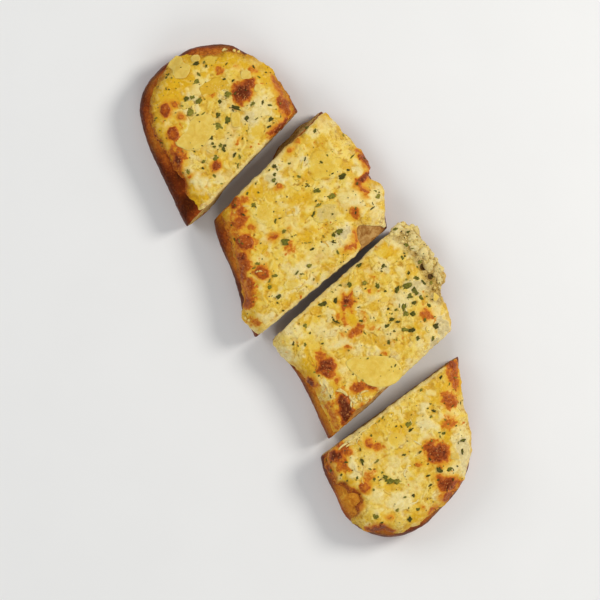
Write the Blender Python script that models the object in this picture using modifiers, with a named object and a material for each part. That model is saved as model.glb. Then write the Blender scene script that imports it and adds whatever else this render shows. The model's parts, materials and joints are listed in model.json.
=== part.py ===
"""Cheesy garlic bread: half of a small oval loaf, cut side up under a layer of melted cheese,
cut across into four pieces that lie slightly apart.

Metres, +Z up. +Y runs along the loaf towards its first rounded end, +X across it, and the
origin is on the surface the pieces rest on, under the middle of the whole loaf.

Each piece is two solids: the bread, and the cheese layer that shows at its cut faces. The large
thin shavings of hard cheese that lie on top are solids of their own.
"""

import math
import random

import bmesh
import bpy
from mathutils import Matrix, Vector

MM = 0.001

# ---------------------------------------------------------------- driving sizes, in millimetres
CENTRE_X, CENTRE_Y = 19.468, 0.526  # middle of the four pieces, which becomes the origin
BREAD_HEIGHT = 28.0             # half a loaf, at the middle of a piece
CHEESE_THICK = 3.6              # the melted layer, away from its rounded edge
CHEESE_GAP = 0.45               # clearance between the facets of bread and cheese
SHAVING_THICK = 0.9
SHAVING_GAP = 0.35
END_SQUARENESS = 2.5            # exponent of the superellipse that closes a rounded end
BEYOND_CUT = 18.0               # how far a piece's blank reaches past a knife cut

# The crust's profile: distance in from the widest outline, and height above the table
CRUST_PROFILE = (
    (8.5, 0.0), (4.0, 1.1), (1.4, 4.4), (0.2, 9.0), (0.0, 13.5), (0.8, 18.5),
    (3.0, 22.4), (6.0, 24.9), (10.0, 26.9), (15.0, 27.8),
)

# Each piece, from the first rounded end to the other. "left" and "right" are the crust sides as
# x at the upper end, the middle and the lower end of the side, whose y runs from "up" to "low".
# "cuts" are knife cuts, each as the y where it meets x = 15 and its angle in degrees; the piece
# lies below an upper cut and above a lower one. "cap" is the length of a rounded end.
PIECES = {
    "1": dict(up=105.0, low=72.0, left=(-47.0, -47.0, -44.5), right=(54.0, 53.5, 52.0),
              cap_up=69.0, lean_up=0.0, upper=None, lower=(92.8, 18.1), height=28.0,
              rim_left=7.5, rim_right=5.0),
    "2": dict(up=100.0, low=-14.0, left=(-27.0, -33.5, -39.0), right=(66.0, 75.5, 77.0),
              cap_up=None, upper=(81.1, 16.6), lower=(-0.9, 11.7), height=28.6,
              rim_left=8.5, rim_right=1.0),
    "3": dict(up=12.0, low=-98.0, left=(-33.0, -27.0, -31.0), right=(79.0, 85.0, 61.0),
              cap_up=None, upper=(-7.2, 14.3), lower=(-82.7, 13.8), height=27.6,
              rim_left=7.0, rim_right=1.5),
    "4": dict(up=-84.0, low=-115.0, left=(-37.0, -41.0, -44.5), right=(69.5, 64.0, 58.5),
              cap_up=None, cap_low=58.0, lean_low=-8.0, upper=(-93.5, 8.2), lower=None,
              height=28.2, rim_left=7.5, rim_right=3.0),
}

# Large shavings of hard cheese: piece, x, y, length, width, turn in degrees, taper
SHAVINGS = (
    ("1", -29.0, 149.0, 15.0, 13.5, 40, 0.25),
    ("1", -9.5, 161.0, 15.5, 10.0, 12, 0.15),
    ("1", -13.5, 139.5, 22.0, 11.5, 22, 0.20),
    ("1", -21.5, 116.0, 24.0, 19.0, 60, 0.10),
    ("1", 9.0, 123.5, 14.0, 11.5, -20, 0.15),
    ("2", 45.0, 84.5, 23.0, 15.0, -10, 0.20),
    ("2", 42.5, 54.5, 17.0, 15.0, 35, 0.30),
    ("2", 6.5, 37.5, 16.0, 13.0, 70, 0.20),
    ("2", 1.5, 3.0, 13.5, 11.0, 10, 0.25),
    ("3", 60.0, -5.0, 16.0, 9.0, 25, 0.30),
    ("3", 18.5, -68.0, 35.0, 18.0, 24, 0.45),
    ("4", 12.5, -107.5, 12.0, 10.0, 50, 0.20),
)

OUTLINE_STEPS = 120   # points on a piece's outline before it becomes a table of radii
ROUND_STEPS = 48      # facets round a piece
UPPER_SHARES = (0.55, 0.28)   # rings of the crumb side, as shares of the radius from the middle
BREAD_COLOUR = (0.47, 0.20, 0.055)
CRUMB_COLOUR = (0.72, 0.52, 0.24)
CHEESE_COLOUR = (0.80, 0.58, 0.16)
SHAVING_COLOUR = (0.78, 0.56, 0.19)


# ---------------------------------------------------------------- the scene and its collection
for old in list(bpy.data.objects):
    bpy.data.objects.remove(old, do_unlink=True)
parts = bpy.data.collections.new("cheesy_garlic_bread")
bpy.context.scene.collection.children.link(parts)


def material(name, colour, roughness):
    made = bpy.data.materials.new(name)
    made.use_nodes = True
    shader = made.node_tree.nodes["Principled BSDF"]
    shader.inputs["Base Color"].default_value = (*colour, 1.0)
    shader.inputs["Roughness"].default_value = roughness
    shader.inputs["Metallic"].default_value = 0.0
    return made


bread_finish = material("baked_bread", BREAD_COLOUR, 0.75)
crumb_finish = material("bread_crumb", CRUMB_COLOUR, 0.9)
cheese_finish = material("melted_cheese", CHEESE_COLOUR, 0.38)
shaving_finish = material("hard_cheese_shaving", SHAVING_COLOUR, 0.5)


# ---------------------------------------------------------------- outlines
def side(values, t):
    """x of a crust side at share t of its way down: a parabola through its three values."""
    a, b, c = values
    return a * (1 - t) * (1 - 2 * t) + 4 * b * t * (1 - t) + c * t * (2 * t - 1)


def power(value, exponent):
    return math.copysign(abs(value) ** exponent, value)


def cap(left, right, y, length, lean, upwards, steps):
    """Points of a superellipse that closes one end, from its right to its left side."""
    middle, half = (left + right) / 2, (right - left) / 2
    made = []
    for k in range(1, steps):
        angle = math.pi * k / steps
        reach = abs(math.sin(angle)) ** (2 / END_SQUARENESS)
        x = middle + half * power(math.cos(angle), 2 / END_SQUARENESS) + lean * reach
        made.append((x, y + (length if upwards else -length) * reach))
    return made


def outline(piece):
    """The piece's blank seen from above, before its knife cuts, anticlockwise."""
    steps = OUTLINE_STEPS // 4
    up, low = piece["up"], piece["low"]
    if piece["upper"]:
        up += BEYOND_CUT
    if piece["lower"]:
        low -= BEYOND_CUT
    span = piece["up"] - piece["low"]

    def x_at(values, y):
        t = (piece["up"] - y) / span
        inside = min(1.0, max(0.0, t))
        slope = (side(values, min(1.0, inside + 0.01)) - side(values, max(0.0, inside - 0.01))) / 0.02
        return side(values, inside) + (t - inside) * slope * 0.5

    ys = [low + (up - low) * k / steps for k in range(steps + 1)]
    right = [(x_at(piece["right"], y), y) for y in ys]
    left = [(x_at(piece["left"], y), y) for y in reversed(ys)]
    top = cap(left[0][0], right[-1][0], up, piece.get("cap_up") or 12.0,
              piece.get("lean_up", 0.0), True, steps)
    bottom = cap(left[-1][0], right[0][0], low, piece.get("cap_low") or 12.0,
                 piece.get("lean_low", 0.0), False, steps)
    return right + top + left + bottom[::-1]


class Round:
    """A star-shaped outline as a radius for each direction from its centre."""

    def __init__(self, points, wave=0.0, seed=0):
        xs, ys = [p[0] for p in points], [p[1] for p in points]
        self.cx, self.cy = (min(xs) + max(xs)) / 2, (min(ys) + max(ys)) / 2
        self.points = points
        chance = random.Random(seed)
        self.waves = [(n, wave * chance.uniform(0.4, 1.0) / n ** 0.5, chance.uniform(0, math.tau))
                      for n in (3, 5, 7, 9, 12)]

    def radius(self, angle):
        """Distance from the centre to the outline in this direction."""
        dx, dy = math.cos(angle), math.sin(angle)
        best = 0.0
        for (ax, ay), (bx, by) in zip(self.points, self.points[1:] + self.points[:1]):
            ax, ay, bx, by = ax - self.cx, ay - self.cy, bx - self.cx, by - self.cy
            ex, ey = bx - ax, by - ay
            across = dx * ey - dy * ex
            if abs(across) < 1e-12:
                continue
            t = (ax * ey - ay * ex) / across
            s = (ax * dy - ay * dx) / across
            if t > 0 and -1e-9 <= s <= 1 + 1e-9:
                best = max(best, t)
        return best + sum(a * math.sin(n * angle + p) for n, a, p in self.waves)


# ---------------------------------------------------------------- heights
def crust_height(inset, height):
    """Height of the bread's upper surface at this distance in from its outline."""
    scale = height / BREAD_HEIGHT
    upper = CRUST_PROFILE[4:]
    if inset <= upper[0][0]:
        return upper[0][1] * scale
    for (a, za), (b, zb) in zip(upper, upper[1:]):
        if inset <= b:
            return (za + (zb - za) * (inset - a) / (b - a)) * scale
    return (upper[-1][1] + (BREAD_HEIGHT - upper[-1][1]) * min(1.0, (inset - 15.0) / 25.0)) * scale


# ---------------------------------------------------------------- solids
def placed(x, y, z):
    return Vector(((x - CENTRE_X) * MM, (y - CENTRE_Y) * MM, z * MM))


def rings_to_ball(name, rings, bottom, top, finish):
    """A UV sphere whose rows are moved onto the given rings, lowest first, and its poles to the
    two given points. Every ring has ROUND_STEPS points, anticlockwise from above."""
    mesh = bpy.data.meshes.new(name)
    bm = bmesh.new()
    bmesh.ops.create_uvsphere(bm, u_segments=ROUND_STEPS, v_segments=len(rings) + 1, radius=1.0)
    for v in bm.verts:
        z = max(-1.0, min(1.0, v.co.z))
        row = round((math.asin(z) / math.pi + 0.5) * (len(rings) + 1))
        if row == 0:
            v.co = bottom
        elif row == len(rings) + 1:
            v.co = top
        else:
            at = round(math.atan2(v.co.y, v.co.x) / math.tau * ROUND_STEPS) % ROUND_STEPS
            v.co = rings[row - 1][at]
    bmesh.ops.recalc_face_normals(bm, faces=bm.faces[:])
    bm.to_mesh(mesh)
    bm.free()
    made = bpy.data.objects.new(name, mesh)
    mesh.materials.append(finish)
    parts.objects.link(made)
    return made


def knife(made, cut, keep_below, clearance=0.0):
    """Cuts the solid with a vertical plane and closes the cut face."""
    y15, degrees = cut
    along = Vector((math.cos(math.radians(degrees)), math.sin(math.radians(degrees)), 0))
    normal = Vector((-along.y, along.x, 0))
    if not keep_below:
        normal = -normal
    point = placed(15.0, y15, 0.0) - normal * clearance * MM
    bm = bmesh.new()
    bm.from_mesh(made.data)
    bmesh.ops.bisect_plane(bm, geom=bm.verts[:] + bm.edges[:] + bm.faces[:], dist=1e-7,
                           plane_co=point, plane_no=normal, clear_outer=True)
    rim = [e for e in bm.edges if e.is_boundary]
    filled = bmesh.ops.contextual_create(bm, geom=rim)["faces"]
    if len(made.data.materials) > 1:
        for face in filled:
            face.material_index = 1
    bmesh.ops.recalc_face_normals(bm, faces=bm.faces[:])
    bm.to_mesh(made.data)
    bm.free()


def ring(shape, inset_at, z_at):
    """One ring of a piece. The inset and the height may depend on the direction."""
    made = []
    for k in range(ROUND_STEPS):
        angle = math.tau * k / ROUND_STEPS
        r = shape.radius(angle)
        inset = inset_at(angle, r)
        x = shape.cx + (r - inset) * math.cos(angle)
        y = shape.cy + (r - inset) * math.sin(angle)
        made.append(placed(x, y, z_at(angle, inset)))
    return made


def make_bread(key, piece, shape):
    scale = piece["height"] / BREAD_HEIGHT
    rings = [ring(shape, lambda a, r: r * 0.5, lambda a, i: 0.0)]
    for inset, z in CRUST_PROFILE:
        rings.append(ring(shape, lambda a, r, i=inset: i, lambda a, i, z=z: z * scale))
    for share in UPPER_SHARES:
        rings.append(ring(shape, lambda a, r, s=share: r * (1 - s),
                          lambda a, i: crust_height(i, piece["height"])))
    made = rings_to_ball("bread_" + key, rings, placed(shape.cx, shape.cy, 0.0),
                         placed(shape.cx, shape.cy, piece["height"]), bread_finish)
    made.data.materials.append(crumb_finish)
    if piece["upper"]:
        knife(made, piece["upper"], True)
    if piece["lower"]:
        knife(made, piece["lower"], False)
    return made


def make_cheese(key, piece, shape):
    """The melted layer: it leaves the crust's rim bare on the left and reaches it on the right."""
    chance = random.Random(40 + int(key))
    waves = [(n, chance.uniform(0.5, 1.3), chance.uniform(0, math.tau)) for n in (4, 6, 9, 11, 14)]
    height = piece["height"]

    def edge(angle, r):
        to_right = 0.5 + 0.5 * math.cos(angle)
        rim = piece["rim_left"] * (1 - to_right) + piece["rim_right"] * to_right
        return max(1.2, rim + sum(a * math.sin(n * angle + p) for n, a, p in waves))

    def lower(angle, inset):
        slope = (crust_height(inset + 0.1, height) - crust_height(inset, height)) / 0.1
        return crust_height(inset, height) + CHEESE_GAP * math.sqrt(1 + slope * slope)

    def thick(angle):
        return CHEESE_THICK + 0.5 * math.sin(5 * angle + int(key)) + 0.35 * math.sin(8 * angle)

    def over_knot(knot, step):
        """The layer's underside bends where the crust's profile does, as far out as it reaches."""
        return lambda a, r: max(knot, edge(a, r) + 0.35 * step)

    knots = [inset for inset, _ in CRUST_PROFILE[:4:-1] if inset > 0]
    rings = [ring(shape, lambda a, r, s=share: r * (1 - s), lower) for share in UPPER_SHARES[::-1]]
    rings += [ring(shape, over_knot(knot, len(knots) - k), lower) for k, knot in enumerate(knots)]
    rings += [
        ring(shape, edge, lambda a, i: lower(a, i) + 1.2),
        ring(shape, lambda a, r: edge(a, r) + 1.0, lambda a, i: lower(a, i) + 0.72 * thick(a)),
        ring(shape, lambda a, r: edge(a, r) + 3.2, lambda a, i: lower(a, i) + 0.97 * thick(a)),
        ring(shape, lambda a, r: edge(a, r) + 9.0, lambda a, i: lower(a, i) + thick(a)),
        ring(shape, lambda a, r: r * 0.55, lambda a, i: lower(a, i) + thick(a + 0.4)),
    ]
    made = rings_to_ball("cheese_" + key, rings, placed(shape.cx, shape.cy, height + CHEESE_GAP),
                         placed(shape.cx, shape.cy, height + CHEESE_GAP + CHEESE_THICK),
                         cheese_finish)
    if piece["upper"]:
        knife(made, piece["upper"], True, -0.4)
    if piece["lower"]:
        knife(made, piece["lower"], False, -0.4)
    return made


def highest(objects, x, y):
    """The highest point of these solids straight below (x, y), in millimetres."""
    found = 0.0
    for o in objects:
        hit, where, _, _ = o.ray_cast(Vector(placed(x, y, 200.0)), Vector((0, 0, -1)))
        if hit:
            found = max(found, where.z / MM)
    return found


def make_shaving(number, entry, below):
    """A thin curled flake: a round grid shaped by its length, width and taper, with Solidify."""
    _, x, y, length, width, turn, taper = entry
    chance = random.Random(900 + number)
    name = f"shaving_{number:02d}"
    mesh = bpy.data.meshes.new(name)
    bm = bmesh.new()
    bmesh.ops.create_circle(bm, cap_ends=True, cap_tris=True, segments=18, radius=1.0)
    spokes = [e for e in bm.edges if any(v.co.length < 1e-6 for v in e.verts)]
    bmesh.ops.subdivide_edges(bm, edges=spokes, cuts=1)
    bmesh.ops.triangulate(bm, faces=bm.faces[:])
    bumps = [(n, chance.uniform(0.02, 0.06), chance.uniform(0, math.tau)) for n in (2, 3, 5, 7)]
    curl = chance.uniform(0.5, 0.9)
    turned = Matrix.Rotation(math.radians(turn), 3, "Z")
    spots = []
    for v in bm.verts:
        angle = math.atan2(v.co.y, v.co.x)
        wobble = 1 + sum(a * math.sin(n * angle + p) for n, a, p in bumps)
        u, w = v.co.x * wobble, v.co.y * wobble * (1 - taper * v.co.x)
        flat = turned @ Vector((u * length / 2, w * width / 2, 0))
        spots.append((v, flat, curl * (u * u + 0.4 * w * w)))
    floor = max(highest(below, x + f.x, y + f.y) - bend for _, f, bend in spots)
    for v, flat, bend in spots:
        v.co = placed(x + flat.x, y + flat.y, floor + SHAVING_GAP + bend)
    bm.normal_update()
    if sum(f.normal.z for f in bm.faces) < 0:
        bmesh.ops.reverse_faces(bm, faces=bm.faces[:])
    bm.to_mesh(mesh)
    bm.free()
    made = bpy.data.objects.new(name, mesh)
    mesh.materials.append(shaving_finish)
    parts.objects.link(made)
    shell = made.modifiers.new("thickness", "SOLIDIFY")
    shell.thickness = SHAVING_THICK * MM
    shell.offset = 1.0
    shell.use_even_offset = False
    return made


# ---------------------------------------------------------------- the four pieces
breads, cheeses = {}, {}
for key, piece in PIECES.items():
    shape = Round(outline(piece), wave=0.35, seed=int(key))
    breads[key] = make_bread(key, piece, shape)
    cheeses[key] = make_cheese(key, piece, shape)

bpy.context.view_layer.update()
for number, entry in enumerate(SHAVINGS, 1):
    make_shaving(number, entry, [cheeses[entry[0]], breads[entry[0]]])

for made in parts.objects:
    made.data.shade_smooth()
    made.data.set_sharp_from_angle(angle=math.radians(40))
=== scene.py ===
"""Looks for the cheesy garlic bread: baked crust, open crumb, browned melted cheese, shavings of
hard cheese, chopped parsley and ground pepper.

Sizes are in millimetres in the part's frame unless a name says otherwise. The surfaces are the
zero level of fields on a fine grid, meshed here with surface nets, and the colours come from
numbers kept on the vertices and from procedural noise.
"""

import itertools
import json
import math

import bmesh
import bpy
import numpy as np
from mathutils import Matrix, Vector
from mathutils.bvhtree import BVHTree

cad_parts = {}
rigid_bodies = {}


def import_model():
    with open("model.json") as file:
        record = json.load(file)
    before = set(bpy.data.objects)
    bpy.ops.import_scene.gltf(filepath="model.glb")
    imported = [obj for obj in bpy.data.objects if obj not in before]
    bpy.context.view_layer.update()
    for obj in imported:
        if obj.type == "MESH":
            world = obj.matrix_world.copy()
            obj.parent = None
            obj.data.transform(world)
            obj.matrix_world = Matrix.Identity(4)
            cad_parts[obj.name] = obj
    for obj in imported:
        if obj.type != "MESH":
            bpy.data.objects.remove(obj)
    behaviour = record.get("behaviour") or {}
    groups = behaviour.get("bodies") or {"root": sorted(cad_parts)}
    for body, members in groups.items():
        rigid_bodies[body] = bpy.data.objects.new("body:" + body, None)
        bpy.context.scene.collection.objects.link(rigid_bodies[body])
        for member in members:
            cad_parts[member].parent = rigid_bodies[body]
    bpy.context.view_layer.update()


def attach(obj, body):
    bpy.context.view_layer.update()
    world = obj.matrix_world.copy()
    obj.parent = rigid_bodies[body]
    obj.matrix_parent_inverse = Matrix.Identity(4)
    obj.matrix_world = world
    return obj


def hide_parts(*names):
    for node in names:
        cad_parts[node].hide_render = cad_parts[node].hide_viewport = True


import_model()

MM = 0.001
FRAME_WIDTH = 390.0                # millimetres across the picture
PIXEL = FRAME_WIDTH / 600          # millimetres to a pixel of a 600 pixel picture
TURN = math.radians(28.0)          # the loaf's +X is turned this much from the picture's right
MID_X, MID_Y = 19.468, 0.526       # the part's origin in the frame that the loaf was measured in
BREAD_STEP = 0.68
CHEESE_STEP = 0.54


def at(px, py):
    """A place in the 600 pixel picture, in the part's frame."""
    right, up = px - 302.0, 291.0 - py
    return ((right * math.cos(TURN) + up * math.sin(TURN)) * PIXEL - MID_X,
            (-right * math.sin(TURN) + up * math.cos(TURN)) * PIXEL - MID_Y)


def turned(degrees):
    """An angle seen in the picture, in the part's frame."""
    return math.radians(degrees) - TURN


# ---------------------------------------------------------------- the camera and the light
def look(obj, target):
    obj.rotation_euler = (Vector(target) - obj.location).to_track_quat("-Z", "Y").to_euler()


def add_camera():
    middle = at(300, 300)
    data = bpy.data.cameras.new("camera")
    data.type = "PERSP"
    distance = 2.2
    data.sensor_width = 36.0
    data.lens = 36.0 * distance / (FRAME_WIDTH * MM)
    data.clip_start, data.clip_end = 0.05, 20.0
    camera = bpy.data.objects.new("camera", data)
    bpy.context.scene.collection.objects.link(camera)
    camera.location = (middle[0] * MM, middle[1] * MM, 0.030 + distance)
    camera.rotation_euler = (0.0, 0.0, -TURN)
    bpy.context.scene.camera = camera


def add_light(name, place, size, watts, colour):
    data = bpy.data.lights.new(name, "AREA")
    data.shape = "DISK"
    data.size = size
    data.energy = watts
    data.color = colour
    light = bpy.data.objects.new(name, data)
    bpy.context.scene.collection.objects.link(light)
    light.location = place
    look(light, (0, 0, 0))


def from_picture(right, up, height):
    """A direction given in the picture's axes, as a place in the part's frame, in metres."""
    return (right * math.cos(TURN) + up * math.sin(TURN),
            -right * math.sin(TURN) + up * math.cos(TURN), height)


add_camera()
add_light("key", from_picture(1.05, 0.45, 1.05), 0.50, 14.6, (1.0, 0.97, 0.92))
add_light("fill", from_picture(-1.1, 0.5, 1.05), 1.0, 7.2, (0.96, 0.98, 1.0))
add_light("front", from_picture(0.1, -1.2, 1.05), 1.0, 5.6, (1.0, 0.99, 0.97))

world = bpy.data.worlds.new("studio")
bpy.context.scene.world = world
world.use_nodes = True
world.node_tree.nodes["Background"].inputs["Color"].default_value = (0.95, 0.97, 1.0, 1.0)
world.node_tree.nodes["Background"].inputs["Strength"].default_value = 0.34
bpy.context.scene.view_settings.view_transform = "Standard"
bpy.context.scene.view_settings.look = "None"


# ---------------------------------------------------------------- noise
def noise(seed, size, *axes):
    """Smooth gradient noise, about -1 to 1, with features of this size."""
    chance = np.random.default_rng(seed)
    table = chance.permutation(256).astype(np.int64)
    grads = chance.normal(size=(256, len(axes)))
    grads /= np.linalg.norm(grads, axis=1)[:, None]
    axes = [np.asarray(a, dtype=np.float64) / size + 13.7 * (i + 1) for i, a in enumerate(axes)]
    cells = [np.floor(a).astype(np.int64) for a in axes]
    parts = [a - c for a, c in zip(axes, cells)]
    fades = [f * f * f * (f * (f * 6 - 15) + 10) for f in parts]
    total = 0.0
    for corner in itertools.product((0, 1), repeat=len(axes)):
        h = 0
        for cell, k in zip(cells, corner):
            h = table[(h + cell + k) & 255]
        weight, slope = 1.0, 0.0
        for i, k in enumerate(corner):
            weight = weight * (fades[i] if k else 1 - fades[i])
            slope = slope + grads[h, i] * (parts[i] - k)
        total = total + weight * slope
    return total * 1.7


def layers(seed, size, octaves, *axes):
    """Noise in octaves, each half as large and half as strong."""
    total, norm = 0.0, 0.0
    for k in range(octaves):
        total = total + noise(seed + 17 * k, size / 2 ** k, *axes) * 0.5 ** k
        norm += 0.5 ** k
    return total / norm


def domes(seed, size, x, y, share=0.6):
    """Low round bubbles, 0 to 1 high, about this far apart; some places have none."""
    chance = np.random.default_rng(seed)
    table = chance.permutation(256).astype(np.int64)
    spots = chance.uniform(0, 1, (256, 2))
    radii = chance.uniform(0.22, 0.66, 256)
    tall = chance.uniform(0.35, 1.0, 256) * (chance.random(256) < share)
    x, y = np.asarray(x) / size + 31.3, np.asarray(y) / size + 17.9
    cx, cy = np.floor(x).astype(np.int64), np.floor(y).astype(np.int64)
    best = np.zeros(np.shape(x))
    for i, j in itertools.product((-1, 0, 1), repeat=2):
        h = table[(table[(cx + i) & 255] + cy + j) & 255]
        d = np.hypot(x - cx - i - spots[h, 0], y - cy - j - spots[h, 1]) / radii[h]
        best = np.maximum(best, tall[h] * np.sqrt(np.clip(1 - d * d, 0, 1)))
    return best


def patchwork(seed, size, x, y):
    """A number from 0 to 1 for the uneven patch that a place lies in, and how far its border is."""
    chance = np.random.default_rng(seed)
    table = chance.permutation(256).astype(np.int64)
    spots, values = chance.uniform(0, 1, (256, 2)), chance.random(256)
    x, y = np.asarray(x) / size + 41.7, np.asarray(y) / size + 23.1
    cx, cy = np.floor(x).astype(np.int64), np.floor(y).astype(np.int64)
    best, second = np.full(np.shape(x), 9.0), np.full(np.shape(x), 9.0)
    value = np.zeros(np.shape(x))
    for i, j in itertools.product((-1, 0, 1), repeat=2):
        h = table[(table[(cx + i) & 255] + cy + j) & 255]
        d = np.hypot(x - cx - i - spots[h, 0], y - cy - j - spots[h, 1])
        closer = d < best
        second = np.where(closer, best, np.minimum(second, d))
        value = np.where(closer, values[h], value)
        best = np.minimum(best, d)
    return value, (second - best) * size


def ramp(low, high, value):
    t = np.clip((value - low) / (high - low), 0, 1)
    return t * t * (3 - 2 * t)


def soft_max(a, b, k):
    h = np.maximum(k - np.abs(a - b), 0) / k
    return np.maximum(a, b) + h * h * k * 0.25


def soft_min(a, b, k):
    return -soft_max(-a, -b, k)


class Sheet:
    """Values on a fine flat grid over one piece, read back at any place."""

    def __init__(self, low, high, step):
        self.low, self.step = low, step
        self.counts = [int(math.ceil((b - a) / step)) + 1 for a, b in zip(low, high)]
        axes = [a + step * np.arange(n) for a, n in zip(low, self.counts)]
        self.x, self.y = np.meshgrid(*axes, indexing="ij")
        self.kept = {}

    def read(self, name, x, y):
        i = np.clip((np.asarray(x) - self.low[0]) / self.step, 0, self.counts[0] - 1.001)
        j = np.clip((np.asarray(y) - self.low[1]) / self.step, 0, self.counts[1] - 1.001)
        i0, j0 = i.astype(int), j.astype(int)
        fi, fj = i - i0, j - j0
        t = self.kept[name]
        return ((t[i0, j0] * (1 - fi) + t[i0 + 1, j0] * fi) * (1 - fj)
                + (t[i0, j0 + 1] * (1 - fi) + t[i0 + 1, j0 + 1] * fi) * fj)

    def window(self, x, y, reach):
        """The part of the grid within this reach of a place, or None."""
        i = [int(np.clip((x - self.low[0] + d) / self.step, 0, self.counts[0])) for d in (-reach, reach)]
        j = [int(np.clip((y - self.low[1] + d) / self.step, 0, self.counts[1])) for d in (-reach, reach)]
        if i[1] - i[0] < 2 or j[1] - j[0] < 2:
            return None
        return slice(*i), slice(*j)

    def blurred(self, values, width):
        """A Gaussian blur of this width."""
        reach = int(3 * width / self.step) + 1
        weights = np.exp(-0.5 * (np.arange(-reach, reach + 1) * self.step / width) ** 2)
        weights /= weights.sum()
        for axis in (0, 1):
            padded = np.pad(values, [(reach, reach) if a == axis else (0, 0) for a in (0, 1)], mode="edge")
            size = values.shape[axis]
            values = sum(w * np.take(padded, np.arange(n, n + size), axis=axis) for n, w in enumerate(weights))
        return values


# ---------------------------------------------------------------- outlines
def smooth_loop(points, steps=6):
    """A closed Catmull-Rom curve through these points."""
    p = np.array(points, dtype=float)
    made = []
    t = np.linspace(0, 1, steps, endpoint=False)[:, None]
    for a, b, c, d in zip(np.roll(p, 1, 0), p, np.roll(p, -1, 0), np.roll(p, -2, 0)):
        made.append(0.5 * (2 * b + (c - a) * t + (2 * a - 5 * b + 4 * c - d) * t ** 2
                           + (3 * b - a - 3 * c + d) * t ** 3))
    return np.vstack(made)


def inside_distance(loop, x, y):
    """Distance in from a closed outline, negative outside it."""
    best = np.full(np.shape(x), 1e9)
    crossings = np.zeros(np.shape(x), dtype=np.int32)
    for (ax, ay), (bx, by) in zip(loop, np.roll(loop, -1, 0)):
        ex, ey = bx - ax, by - ay
        t = np.clip(((x - ax) * ex + (y - ay) * ey) / (ex * ex + ey * ey + 1e-12), 0, 1)
        best = np.minimum(best, (x - ax - t * ex) ** 2 + (y - ay - t * ey) ** 2)
        spans = (ay > y) != (by > y)
        with np.errstate(divide="ignore", invalid="ignore"):
            crossings += spans & (x < ax + (y - ay) * ex / (ey if ey else 1e-12))
    return np.where(crossings % 2 == 1, 1, -1) * np.sqrt(best)


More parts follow.
